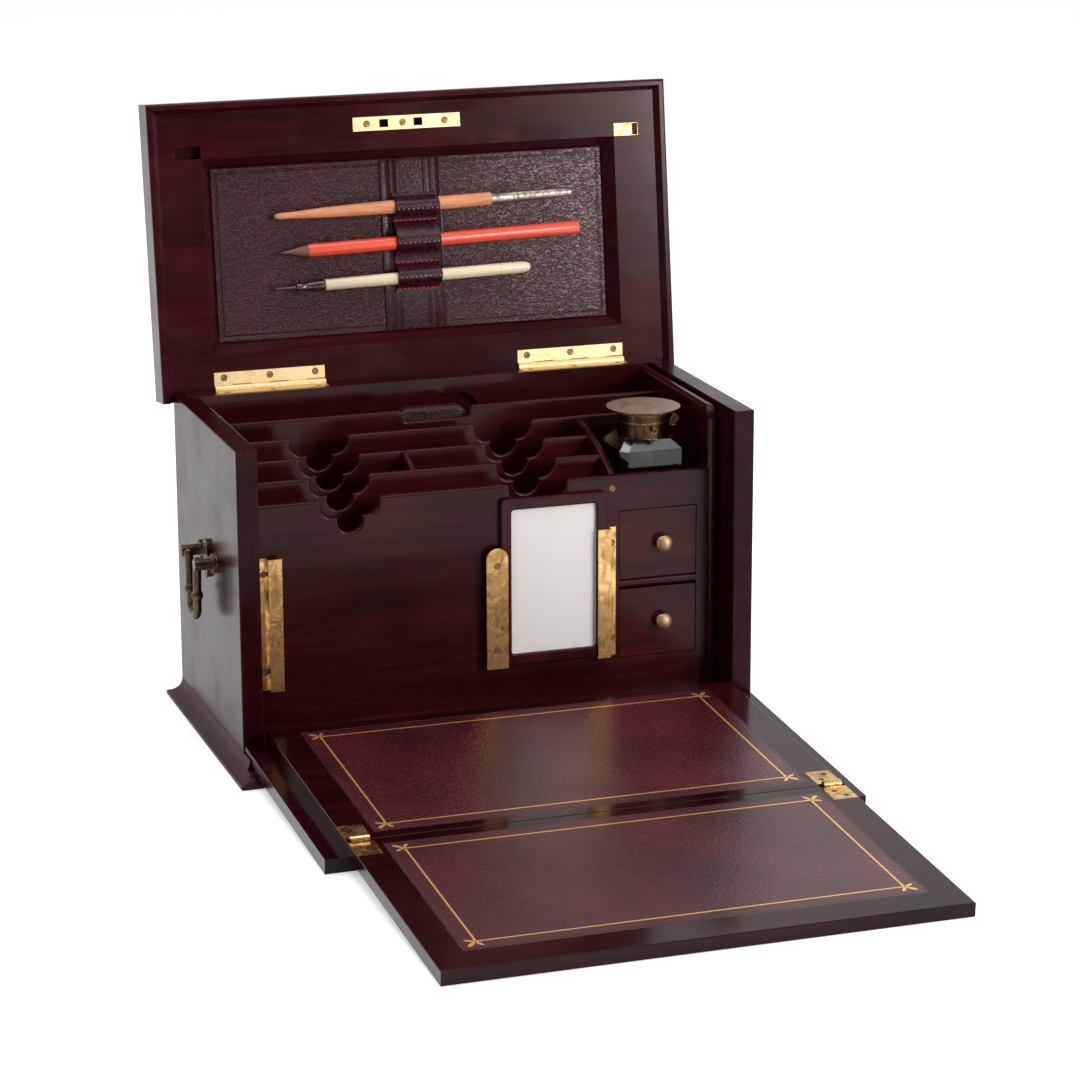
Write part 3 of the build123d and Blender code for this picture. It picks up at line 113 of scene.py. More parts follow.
# ---- shader writing ----
class Value:
    """A number, vector or colour in a material, written with the usual operators."""

    def __init__(self, shader, socket):
        self.shader = shader
        self.socket = socket

    def maths(self, operation, *values):
        return self.shader.node("ShaderNodeMath", {"operation": operation}, dict(enumerate(values)))

    def __add__(self, other):
        return self.maths("ADD", self, other)

    __radd__ = __add__

    def __sub__(self, other):
        return self.maths("SUBTRACT", self, other)

    def __rsub__(self, other):
        return self.maths("SUBTRACT", other, self)

    def __mul__(self, other):
        return self.maths("MULTIPLY", self, other)

    __rmul__ = __mul__

    def __abs__(self):
        return self.maths("ABSOLUTE", self)

    def least(self, other):
        return self.maths("MINIMUM", self, other)

    def most(self, other):
        return self.maths("MAXIMUM", self, other)

    def wave(self, period):
        """From 0 to 1 and back once in each period."""
        return self.maths("SINE", self * (2 * math.pi / period)) * 0.5 + 0.5

    def step(self, low, high):
        """From 0 at low to 1 at high, eased at both ends."""
        settings = {"interpolation_type": "SMOOTHSTEP"}
        ends = {"Value": self, "From Min": low, "From Max": high}
        return self.shader.node("ShaderNodeMapRange", settings, ends)

    def band(self, low, high, soft):
        """1 between low and high, falling to 0 over soft on either side."""
        return self.step(low - soft, low) * (1 - self.step(high, high + soft))


class Shader:
    """The nodes of a world, or of a new material by its name, one call or expression each."""

    def __init__(self, owner, end="ShaderNodeOutputMaterial"):
        self.owner = bpy.data.materials.new(owner) if isinstance(owner, str) else owner
        self.owner.use_nodes = True
        self.tree = self.owner.node_tree
        self.tree.nodes.clear()
        self.end = self.tree.nodes.new(end)

    def node(self, kind, settings=None, inputs=None, output=0):
        made = self.tree.nodes.new(kind)
        for name, value in (settings or {}).items():
            if name == "stops":
                ramp = made.color_ramp
                while len(ramp.elements) < len(value):
                    ramp.elements.new(0.5)
                for stop, (place, colour) in zip(ramp.elements, value):
                    stop.position = place
                    stop.color = (*colour, 1.0)
            else:
                setattr(made, name, value)
        for name, value in (inputs or {}).items():
            if isinstance(value, Value):
                self.tree.links.new(value.socket, made.inputs[name])
            else:
                made.inputs[name].default_value = value
        return Value(self, made.outputs[output])

    def place(self, face):
        """Coordinates in millimetres on a working face."""
        where = self.node("ShaderNodeTexCoord", output="Object")
        turn = {"Location": face.translation, "Rotation": face.to_euler(), "Scale": (MM, MM, MM)}
        return self.node("ShaderNodeMapping", {"vector_type": "TEXTURE"}, {"Vector": where, **turn})

    def background_rays(self, gloss_share=1.0):
        """1 for the camera's rays, which see the white background, and a share for gloss and glass."""
        kinds = ("Is Camera Ray", "Is Glossy Ray", "Is Transmission Ray")
        seen, gloss, through = [self.node("ShaderNodeLightPath", output=kind) for kind in kinds]
        return seen.most(gloss.most(through) * gloss_share)

    def stretch(self, vector, scale):
        return self.node("ShaderNodeVectorMath", {"operation": "MULTIPLY"}, {0: vector, 1: scale})

    def parts(self, vector):
        """The three numbers of a vector."""
        return [self.node("ShaderNodeSeparateXYZ", None, {"Vector": vector}, i) for i in range(3)]

    def up(self):
        """How far a face looks up with its piece at rest; the piece keeps it when it turns."""
        return self.parts(self.node("ShaderNodeTexCoord", output="Normal"))[2]

    def noise(self, vector, scale=1.0, detail=3.0, roughness=0.5, distortion=0.0):
        inputs = {"Vector": vector, "Scale": scale, "Detail": detail, "Roughness": roughness}
        return self.node("ShaderNodeTexNoise", None, {**inputs, "Distortion": distortion})

    def cells(self, vector, randomness=1.0):
        inputs = {"Vector": vector, "Scale": 1.0, "Randomness": randomness}
        return self.node("ShaderNodeTexVoronoi", None, inputs)

    def ramp(self, value, *stops):
        return self.node("ShaderNodeValToRGB", {"stops": stops}, {"Fac": value})

    def mix(self, share, first, second):
        """Blend two colours by a share."""
        first, second = [c if isinstance(c, Value) else (*tuple(c)[:3], 1.0) for c in (first, second)]
        settings = {"data_type": "RGBA", "clamp_factor": True}
        return self.node("ShaderNodeMix", settings, {0: share, 6: first, 7: second}, 2)

    def bump(self, height, strength, distance):
        inputs = {"Height": height, "Strength": strength, "Distance": distance}
        return self.node("ShaderNodeBump", None, inputs)

    def worn_edge(self, radius):
        """0 on a face, rising towards its arrises."""
        soft = self.node("ShaderNodeBevel", {"samples": 4}, {"Radius": radius})
        flat = self.node("ShaderNodeNewGeometry", output="Normal")
        inputs = {0: soft, 1: flat}
        aligned = self.node("ShaderNodeVectorMath", {"operation": "DOT_PRODUCT"}, inputs, "Value")
        return (1 - aligned).step(0.01, 0.22)

    def glow(self, kind, tint, strength):
        return self.node(kind, None, {"Color": (*tint, 1.0), "Strength": strength})

    def end_with(self, skin):
        self.tree.links.new(skin.socket, self.end.inputs["Surface"])

    def surface(self, inputs):
        """Finish the material with one principled surface."""
        self.end_with(self.node("ShaderNodeBsdfPrincipled", None, inputs))
        return self.owner


# ---- settings ----
def colour(name, description, default):
    return bpy.props.FloatVectorProperty(
        name=name, description=description, default=default, subtype="COLOR", min=0.0, max=1.0
    )


def length(name, description, default):
    """A size in millimetres."""
    return bpy.props.FloatProperty(name=name, description=description, default=default, min=0.0)


def angle(name, description, degrees):
    return bpy.props.FloatProperty(
        name=name, description=description, default=math.radians(degrees), subtype="ANGLE"
    )


class StationeryFinishes(bpy.types.PropertyGroup):
    wood_deep: colour("Mahogany, deep", "The stained wood between its figure", (0.018, 0.0018, 0.0024))
    wood_body: colour("Mahogany, body", "The polished wood's main colour", (0.035, 0.0034, 0.0045))
    wood_flame: colour("Mahogany, flame", "The brightest figure in the wood", (0.062, 0.0060, 0.0076))
    wood_worn: colour("Mahogany, worn", "Rubbed arrises", (0.150, 0.055, 0.042))
    leather_red: colour("Writing leather", "The leaves' burgundy leather", (0.046, 0.0050, 0.0092))
    # painted sheen: the paler colour painted on the lid leather's grain towards its right and top
    leather_plum: colour("Lid leather", "The lid's crushed plum leather", (0.046, 0.0085, 0.0140))
    leather_rubbed: colour("Painted leather sheen", "The lid leather's grain where it is paler", (0.40, 0.29, 0.30))
    gold: colour("Gold leaf", "Tooled lines and corners", (0.80, 0.47, 0.16))
    brass: colour("Polished brass", "Hinges and card channels", (0.80, 0.50, 0.20))
    brass_pale: colour("Pale brass", "Plates on the lid", (0.84, 0.62, 0.33))
    # painted sheen: the paler colour painted on the upward-facing top of the inkwell's cap
    brass_top_sheen: colour("Aged brass", "The top of the inkwell's cap", (0.30, 0.205, 0.168))
    brass_brown: colour("Brown brass", "The inkwell's collar and cap", (0.070, 0.042, 0.024))
    brass_tan: colour("Tan brass", "Drawer knobs", (0.50, 0.32, 0.19))
    brass_dark: colour("Dark brass", "Handles", (0.10, 0.075, 0.045))
    screw_red: colour("Screws", "Reddish screw heads", (0.34, 0.19, 0.10))
    ivorine: colour("Tablet", "The white writing tablet", (0.78, 0.77, 0.75))
    pen_wood: colour("Pen wood", "The dip pen's holder", (0.72, 0.28, 0.13))
    pencil_red: colour("Pencil paint", "The pencil's orange-red paint", (0.86, 0.075, 0.03))
    pencil_wood: colour("Pencil cone", "The sharpened wood", (0.20, 0.085, 0.050))
    ivory: colour("Ivory", "The ivory pen's stem", (0.80, 0.69, 0.47))
    thread: colour("Thread", "The strap's red stitching", (0.52, 0.016, 0.022))
    needle: colour("Needle marks", "The pale dots along the loops", (0.55, 0.46, 0.46))


class StationerySizes(bpy.types.PropertyGroup):
    gold_inset: length("Border inset", "From a leather's edge to its gold line, mm", 9.0)
    gold_width: length("Gold line", "Width of a gold line, mm", 1.1)
    stitch: length("Stitch", "Pitch of the red stitches, mm", 2.9)
    strap_width: length("Band width", "Width of the leather band behind the loops, mm", 37.0)
    loop_width: length("Loop width", "Width of the loops that hold the pens, mm", 27.0)


class StationeryStudio(bpy.types.PropertyGroup):
    eye: bpy.props.FloatVectorProperty(
        name="Camera", description="Where the camera stands", default=(-0.5787, -1.7807, 0.6317),
        subtype="TRANSLATION", unit="LENGTH",
    )
    azimuth: angle("Azimuth", "Turn of the camera about the box", -18.02)
    elevation: angle("Elevation", "How far the camera looks down", 15.243)
    roll: angle("Roll", "Tilt of the camera", -0.334)
    lens: length("Lens", "Focal length on a 36 mm sensor, mm", 116.73)
    backdrop: colour("Backdrop", "What the camera sees behind the box", (1.0, 1.0, 1.0))


# ---- finishes ----
def hues():
    return bpy.context.scene.stationery_finishes


def mahogany(name, face, grain=ACROSS, tone=1.0, polish=0.19, gloss=0.145):
    """Dark French-polished mahogany, its grain along one axis of a working face."""
    s, pick = Shader(name), hues()
    along = [0.12 if i == grain else 1.0 for i in range(3)]
    fine = [0.04 if i == grain else 1.0 for i in range(3)]
    where = s.place(face)
    figure = s.stretch(where, [0.075 * a for a in along])
    figure = s.noise(figure, detail=3.0, roughness=0.55, distortion=0.6)
    streak = s.noise(s.stretch(where, [0.35 * a for a in fine]), detail=3.0, roughness=0.6)
    pores = s.noise(s.stretch(where, [1.3 * a for a in fine]), detail=2.0, roughness=0.5)
    patch = s.noise(s.stretch(where, (0.012, 0.012, 0.012)), detail=2.0)
    shade = figure * 0.55 + streak * 0.34 + patch * 0.40 - 0.155
    deep, body, flame = [[c * tone for c in p] for p in (pick.wood_deep, pick.wood_body, pick.wood_flame)]
    wood = s.ramp(shade, (0.36, deep), (0.52, body), (0.71, flame))
    wood = s.mix(pores.step(0.55, 0.75) * 0.4, wood, deep)
    rubbed = s.worn_edge(0.0011) * s.noise(s.stretch(where, (0.12, 0.12, 0.12)), detail=4.0).step(0.45, 0.7)
    wood = s.mix(rubbed * 0.4, wood, pick.wood_worn)
    scuff = s.noise(s.stretch(where, (0.03, 0.03, 0.03)), detail=4.0, roughness=0.6)
    rough = polish + scuff.step(0.35, 0.75) * 0.10 + rubbed * 0.08
    relief = pores * 0.3 + s.noise(s.stretch(where, (0.02, 0.02, 0.02)), detail=1.0) * 2.0
    return s.surface({
        "Base Color": wood,
        "Roughness": rough,
        "Specular IOR Level": gloss,
        "Coat Weight": 0.06,
        "Coat Roughness": 0.08,
        "Normal": s.bump(relief, 0.2, 0.00006),
    })


def within(u, v, low, high):
    """How far inside a rectangle a place is."""
    across = abs(u - (low.x + high.x) / 2) - (high.x - low.x) / 2
    along = abs(v - (low.y + high.y) / 2) - (high.y - low.y) / 2
    return 0 - across.most(along)


def writing_leather(name, low, high):
    """Burgundy skiver with a blind-tooled edge, on a leaf of the fall."""
    s, pick = Shader(name), hues()
    where = s.place(FALL)
    u, v, _ = s.parts(where)
    inside = within(u, v, low, high)
    grain = s.noise(s.stretch(where, (0.42, 0.55, 0.42)), detail=4.0, roughness=0.65)
    pebble = s.cells(s.stretch(where, (0.45, 0.6, 0.45)), randomness=0.9)
    faded = s.noise(s.stretch(where, (0.02, 0.02, 0.02)), detail=4.0)
    tone = grain * 0.6 + faded * 0.4
    red = Vector(pick.leather_red)
    hide = s.ramp(tone, (0.36, red * 0.35), (0.5, red), (0.66, red * 2.0))
    groove = inside.band(0.9, 1.7, 0.25)
    dashes = (u + v).wave(2.2).step(0.35, 0.6)
    tooled = groove * (0.45 + 0.55 * dashes)
    hide = s.mix(tooled * 0.75, hide, red * 0.25)
    fine = s.noise(s.stretch(where, (1.6, 2.4, 1.6)), detail=2.0)
    height = grain * 0.6 + fine * 0.5 - pebble * 0.35 - tooled * 1.2
    return s.surface({
        "Base Color": hide,
        "Roughness": 0.25 + grain * 0.12,
        "Specular IOR Level": 0.36,
        "Coat Weight": 0.06,
        "Coat Roughness": 0.18,
        "Normal": s.bump(height, 0.6, 0.00038),
    })


def crushed_leather(name, stretch=(0.30, 0.80, 0.5), strength=0.75, tone=1.0, edge=False):
    """Glazed plum leather with a crushed straight grain; where it is let in, it is creased near its edge and
    its grain gets a painted sheen, paler towards the right and the top.
    """
    s, pick = Shader(name), hues()
    where = s.place(LID)
    u, v, _ = s.parts(where)
    drift = s.noise(s.stretch(where, (0.03, 0.03, 0.03)), detail=2.0)
    wrinkle = s.noise(s.stretch(where, stretch), detail=3.0, roughness=0.55, distortion=1.4)
    pebble = s.cells(s.stretch(where, [1.4 * c for c in stretch]), randomness=1.0)
    fine = s.noise(s.stretch(where, [2.6 * c for c in stretch]), detail=2.0)
    plum = Vector(pick.leather_plum) * tone
    ridge = (wrinkle + (0.5 - pebble) * 0.25).step(0.38, 0.60)
    hide = s.mix(ridge * (0.55 + drift * 0.7), plum * 0.3, plum * 1.6)
    height = ridge * 0.6 + fine * 0.35 + wrinkle * 0.6
    if edge:
        # painted sheen: the grain is painted paler towards the right and the top of the lid leather,
        # standing in for the light reflected there
        rubbed = u.step(-10.0, 135.0) * (v.step(10.0, 130.0) * 0.6 + 0.4) * ridge * fine.step(0.38, 0.60)
        hide = s.mix(rubbed * 0.9, hide, pick.leather_rubbed)
        crease = within(u, v, LEATHER_LOW, LEATHER_HIGH).band(2.2, 3.0, 0.5)
        height = height - crease * 1.5
        hide = s.mix(crease * 0.6, hide, plum * 0.25)
    return s.surface({
        "Base Color": hide,
        "Roughness": 0.30 - ridge * 0.06,
        "Specular IOR Level": 0.28,
        "Coat Weight": 0.03,
        "Coat Roughness": 0.16,
        "Normal": s.bump(height, strength, 0.00032),
    })


def brass(name, base, tarnish, polish, spot=0.09, rubbed=None, top_sheen=None):
    """Cast or sheet brass, clouded with tarnish; perhaps rubbed on its arrises, or with a painted paler top
    where light from above falls.
    """
    s = Shader(name)
    base = Vector(base)
    where = s.place(LEVEL)
    cloud = s.noise(where, scale=spot, detail=4.0, roughness=0.55, distortion=0.5)
    fleck = s.noise(where, scale=0.7, detail=3.0, roughness=0.6)
    swirl = s.noise(s.stretch(where, (1.0, 1.0, 0.3)), scale=spot * 2.4, detail=2.0, distortion=0.8)
    stain = cloud.step(0.44, 0.64) * 0.6 + swirl.step(0.46, 0.66) * 0.6 + fleck.step(0.55, 0.72) * 0.15
    stain = stain.least(1.0) * tarnish
    dull = Vector((base.x * 0.26, base.y * 0.18, base.z * 0.13))
    metal = s.mix(stain, base, dull)
    rough = polish + stain * 0.28 + fleck * 0.05
    # painted sheen: faces that look up are painted paler and rougher, for the light that falls from above
    if top_sheen:
        up = s.up().step(0.75, 0.95)
        metal = s.mix(up, metal, s.mix(cloud, Vector(top_sheen) * 0.8, Vector(top_sheen) * 1.2))
        rough = rough + up * 0.2
    if rubbed:
        metal = s.mix(s.worn_edge(0.0009).step(0.6, 1.0) * fleck.step(0.42, 0.62), metal, rubbed)
    swell = s.noise(where, scale=spot * 1.3, detail=2.0, distortion=0.8)
    return s.surface({
        "Base Color": metal,
        "Metallic": 1.0,
        "Roughness": rough,
        "Normal": s.bump(swell, 0.5, 0.0004),
    })


def gold_leaf(name):
    """Gold tooling, rubbed thin here and there."""
    s, pick = Shader(name), hues()
    where = s.place(LEVEL)
    rubbed = s.noise(where, scale=0.7, detail=4.0, roughness=0.7).step(0.56, 0.72)
    return s.surface({
        "Base Color": s.mix(rubbed * 0.7, pick.gold, pick.leather_red),
        "Metallic": 0.75 - rubbed * 0.5,
        "Roughness": 0.34 + rubbed * 0.2,
    })


def plain(name, base, rough, mottle=0.25, scale=0.3, metal=0.0, relief=0.15, coat=0.0, warp=(1, 1, 1)):
    """A dyed, painted, ivory or steel surface with a slight mottle."""
    s = Shader(name)
    base = Vector(base)
    where = s.stretch(s.place(LID), warp)
    cloud = s.noise(where, scale=scale, detail=5.0, roughness=0.65)
    tint = s.ramp(cloud, (0.3, base * (1 - mottle)), (0.55, base), (0.8, base * (1 + mottle * 0.5)))
    return s.surface({
        "Base Color": tint,
        "Metallic": metal,
        "Roughness": rough + cloud * 0.12,
        "Coat Weight": coat,
        "Coat Roughness": 0.12,
        "Normal": s.bump(cloud, relief, 0.0001),
    })


def tablet_white(name):
    """Ivorine, greyed by rubbed-out pencil and darker near its edges."""
    s, pick = Shader(name), hues()
    where = s.place(UPRIGHT)
    low, high = extent("tablet_panel", UPRIGHT)
    middle = (low + high) / 2
    u, v, _ = s.parts(where)
    # darker within a few millimetres of the panel's edges, with a mottle
    darker_near_edges = within(u, v, low, high).step(7.0, 1.0) * s.noise(where, scale=0.25, detail=5.0).step(0.35, 0.75)
    smear = s.noise(s.stretch(where, (0.9, 0.22, 1.0)), detail=5.0, roughness=0.75).step(0.5, 0.8)
    smear = smear * (u - middle.x).band(-20.0, -12.0, 7.0) * (v - middle.y).band(-30.0, 22.0, 10.0)
    white = Vector(pick.ivorine)
    tint = s.mix(s.noise(where, scale=0.04, detail=3.0) * 0.5, white, white * 0.93)
    tint = s.mix(smear * 0.30 + darker_near_edges * 0.22, tint, (0.30, 0.28, 0.27))
    return s.surface({
        "Base Color": tint,
        "Roughness": 0.30 + smear * 0.2,
        "Normal": s.bump(s.noise(where, scale=0.06, detail=2.0), 0.1, 0.0004),
    })


def cut_glass(name):
    """Clear cut glass, scratched inside; its upward-facing sloping shoulder is painted paler and made a
    little metallic, a painted sheen for the light from above.
    """
    s = Shader(name)
    where = s.place(LEVEL)
    scratch = s.noise(s.stretch(where, (1.8, 1.8, 0.12)), detail=3.0, roughness=0.6)
    # painted sheen: faces that look up are painted paler and a little metallic
    shoulder_sheen = s.up().band(0.35, 0.90, 0.1)
    clear = s.mix(scratch.step(0.45, 0.8) * 0.35, (0.36, 0.38, 0.40), (0.72, 0.75, 0.78))
    return s.surface({
        "Base Color": s.mix(shoulder_sheen, clear, (0.50, 0.54, 0.56)),
        "Metallic": shoulder_sheen * 0.25,
        "Roughness": scratch.step(0.6, 0.85) * 0.10 + shoulder_sheen * 0.12 + 0.01,
        "IOR": 1.45,
        "Specular IOR Level": 0.2,
        "Transmission Weight": 1.0,
    })


def finish(name, maker, *values, **more):
    """A finish by name, made the first time that it is asked for; the frame has names of its own."""
    name = f"{name}_finish"
    return bpy.data.materials.get(name) or maker(name, *values, **more)


def dress(nodes, material):
    """Give CAD nodes their finish."""
    for name in nodes:
        mesh = frame["nodes"][name].data
        mesh.materials.clear()
        mesh.materials.append(material)


# ---- modelling helpers ----
def shade_by_angle(shape, limit):
    """Smooth the faces and keep the edges sharper than the limit crisp."""
    bmesh.ops.recalc_face_normals(shape, faces=shape.faces)
    for face in shape.faces:
        face.smooth = True
    for edge in shape.edges:
        edge.smooth = len(edge.link_faces) == 2 and edge.calc_face_angle(0.0) < math.radians(limit)


def built(name, shape, material):
    """Make an object of a finished shape."""
    mesh = bpy.data.meshes.new(name)
    shape.to_mesh(mesh)
    shape.free()
    mesh.materials.append(material)
    made = bpy.data.objects.new(name, mesh)
    bpy.context.scene.collection.objects.link(made)
    return made


def piece(name, shape, material, body, slot, limit=38.0):
    """Make a piece of a finished shape; it rides on a body of the box."""
    shade_by_angle(shape, limit)
    made = built(name, shape, material)
    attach(made, body)
    return made


def ringed(shape, rings, closed=False):
    """Skin a run of rings of points; open runs get a cap at each end."""
    rows = [[shape.verts.new(point) for point in ring] for ring in rings]
    count = len(rows[0])
    pairs = list(zip(rows, rows[1:])) + ([(rows[-1], rows[0])] if closed else [])
    for first, second in pairs:
        for i in range(count):
            j = (i + 1) % count
            shape.faces.new((first[i], first[j], second[j], second[i]))
    if not closed:
        shape.faces.new(rows[0][::-1])
        shape.faces.new(rows[-1])


def circle(steps):
    """Points round a circle of radius 1."""
    angles = [2 * math.pi * i / steps for i in range(steps)]
    return [(math.cos(a), math.sin(a)) for a in angles]


def turn(shape, place, outline, steps):
    """Turn an outline of (height, radius) about the out axis of a place."""
    round_ = circle(steps)
    ringed(shape, [[place @ Vector((r * x, r * y, h)) for x, y in round_] for h, r in outline])


def press(shape, place, outline, low, high):
    """Raise a flat outline of (across, along) points from low to high."""
    ringed(shape, [[place @ Vector((u, v, w)) for u, v in outline] for w in (low, high)])


def oblong(left, low, right, high):
    """The outline of a rectangle."""
    return [(left, low), (right, low), (right, high), (left, high)]


def strap_run(shape, place, path, half_width, thickness, centre, edge=0.35):
    """A strip of leather that follows a path of (along, out) points, its edges turned under."""
    points = [Vector(point) for point in path]
    across = [(-1, 0.0), (-1 + edge / half_width, 1.0), (1 - edge / half_width, 1.0), (1, 0.0)]
    rings = []
    for i, point in enumerate(points):
        ahead = points[min(i + 1, len(points) - 1)] - points[max(i - 1, 0)]
        lift = Vector((-ahead.y, ahead.x)).normalized() * thickness
        if lift.y < 0 and abs(ahead.x) > 1e-6:
            lift = -lift
        top = [(s, 0.35 + 0.65 * full) for s, full in across]
        ring = [(centre + s * half_width, point + lift * full) for s, full in top]
        ring += [(centre + s * half_width, point) for s in (1, -1)]
        rings.append([place @ Vector((u, p.x, p.y)) for u, p in ring])
    ringed(shape, rings)


# ---- operators ----
class STATIONERY_OT_studio(bpy.types.Operator):
    """Set up the pale floor, the soft lights and the camera"""

    bl_idname = "stationery.studio"
    bl_label = "Studio"

    FLOOR_SIZE, FLOOR_DROP, FLOOR_GREY, FLOOR_GLOW = 6.0, 0.0003, 0.80, 0.42
    # each lamp's place and size in metres, its power in watts and its tint, and where they all aim
    LAMPS = (
        ("key_light", (1.40, -1.70, 1.15), (1.1, 1.1), 13.0, (1.0, 0.97, 0.94)),
        ("sheen_light", (0.69, -0.83, 0.48), (0.35, 0.35), 7.0, (1.0, 0.96, 0.94)),
        ("top_light", (-0.1, -0.1, 2.1), (1.7, 1.3), 20.0, (1.0, 0.99, 0.97)),
        ("back_light", (-1.5, 1.1, 1.1), (0.9, 0.9), 9.0, (0.97, 0.98, 1.0)),
    )
    AIM = (0.0, 0.0, 0.12)
    SENSOR, SHIFT, CLIP = 36.0, (0.0345, -0.0030), (0.05, 50.0)

    def execute(self, context):
        studio = context.scene.stationery_studio
        self.floor(studio)
        self.sky(context, studio)
        for lamp in self.LAMPS:
            self.lamp(*lamp)
        self.camera(context, studio)
        context.scene.view_settings.view_transform = "Standard"
        return {"FINISHED"}

    def floor(self, studio):
        """A matt floor that shows white to the camera, gloss and glass, and keeps the box's shadow."""
        s = Shader("studio_floor")
        grey = (self.FLOOR_GREY, self.FLOOR_GREY, self.FLOOR_GREY, 1.0)
        matt = s.node("ShaderNodeBsdfDiffuse", None, {"Color": grey})
        glow = s.glow("ShaderNodeEmission", studio.backdrop, self.FLOOR_GLOW)
        both = s.node("ShaderNodeAddShader", None, {0: matt, 1: glow})
        s.end_with(s.node("ShaderNodeMixShader", None, {0: s.background_rays(), 1: matt, 2: both}))
        shape = bmesh.new()
        bmesh.ops.create_grid(shape, x_segments=1, y_segments=1, size=self.FLOOR_SIZE)
        plane = built("floor", shape, s.owner)
        plane.location.z = -self.FLOOR_DROP
        plane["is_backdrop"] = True

    def sky(self, context, studio):
        """White to the camera and to gloss that looks behind the box, dim on the camera's side."""
        context.scene.world = bpy.data.worlds.new("studio")
        s = Shader(context.scene.world, "ShaderNodeOutputWorld")
        _, back, up = s.parts(s.node("ShaderNodeTexCoord", output="Generated"))
        pale = back.step(-0.75, 0.25) * 0.74 + up.step(0.2, 0.9) * 0.20 + 0.05
        share = s.background_rays(back.step(0.0, 0.5))
        s.end_with(s.glow("ShaderNodeBackground", studio.backdrop, share + (1 - share) * pale))

    def lamp(self, name, place, size, power, tint):
        light = bpy.data.lights.new(name, "AREA")
        light.shape = "RECTANGLE"
        light.size, light.size_y = size
        light.energy = power
        light.color = tint
        lamp = bpy.data.objects.new(name, light)
        lamp.location = place
        lamp.rotation_euler = (Vector(self.AIM) - Vector(place)).to_track_quat("-Z", "Y").to_euler()
        bpy.context.scene.collection.objects.link(lamp)

    def camera(self, context, studio):
        lens = bpy.data.cameras.new("camera")
        lens.lens = studio.lens
        lens.sensor_width = self.SENSOR
        lens.sensor_fit = "HORIZONTAL"
        lens.shift_x, lens.shift_y = self.SHIFT
        lens.clip_start, lens.clip_end = self.CLIP
        view = bpy.data.objects.new("camera", lens)
        about = Matrix.Rotation(studio.azimuth, 4, "Z")
        down = Matrix.Rotation(math.pi / 2 - studio.elevation, 4, "X")
        roll = Matrix.Rotation(studio.roll, 4, "Z")
        view.matrix_world = Matrix.Translation(Vector(studio.eye)) @ about @ down @ roll
        context.scene.collection.objects.link(view)
        context.scene.camera = view


class STATIONERY_OT_woodwork(bpy.types.Operator):
    """Polish the mahogany boards and ease their arrises"""

    bl_idname = "stationery.woodwork"
    bl_label = "Woodwork"

    # each finish, the face and the axis that its grain follows, what sets it apart, and its boards
    BOARDS = (
        ("across", LEVEL, ACROSS, {}, (
            "base_board", "floor_board", "back_panel", "inkwell_shelf", "drawer_case",
            "front_board", "divider_second", "divider_third", "divider_fourth", "back_divider",
        )),
        ("deep", LEVEL, ALONG, {}, ("left_lining", "right_lining")),
        ("upright", LEVEL, OUT, {}, ("letter_partition", "curved_partition")),
        ("side", LEVEL, ALONG, {"tone": 0.6, "gloss": 0.065}, ("left_side", "right_side")),
        ("plinth", LEVEL, ACROSS, {"polish": 0.36}, ("plinth_front", "plinth_back")),
        ("plinth_side", LEVEL, ALONG, {"polish": 0.36, "gloss": 0.05}, ("plinth_left", "plinth_right")),
        ("drawers", LEVEL, ACROSS, {"tone": 1.35}, ("drawer_lower", "drawer_upper")),
        ("frame", LEVEL, OUT, {"tone": 1.25}, ("tablet_frame",)),
        ("lid", LID, ACROSS, {"tone": 1.1}, ("lid_top", "lid_frame")),
        ("fall", FALL, ACROSS, {"tone": 0.5, "polish": 0.12}, (
            "fall_board", "writing_leaf_rear", "writing_leaf_front",
        )),
    )

    def execute(self, context):
        for name, face, grain, more, nodes in self.BOARDS:
            dress(nodes, finish(f"mahogany_{name}", mahogany, face, grain, **more))
        return {"FINISHED"}


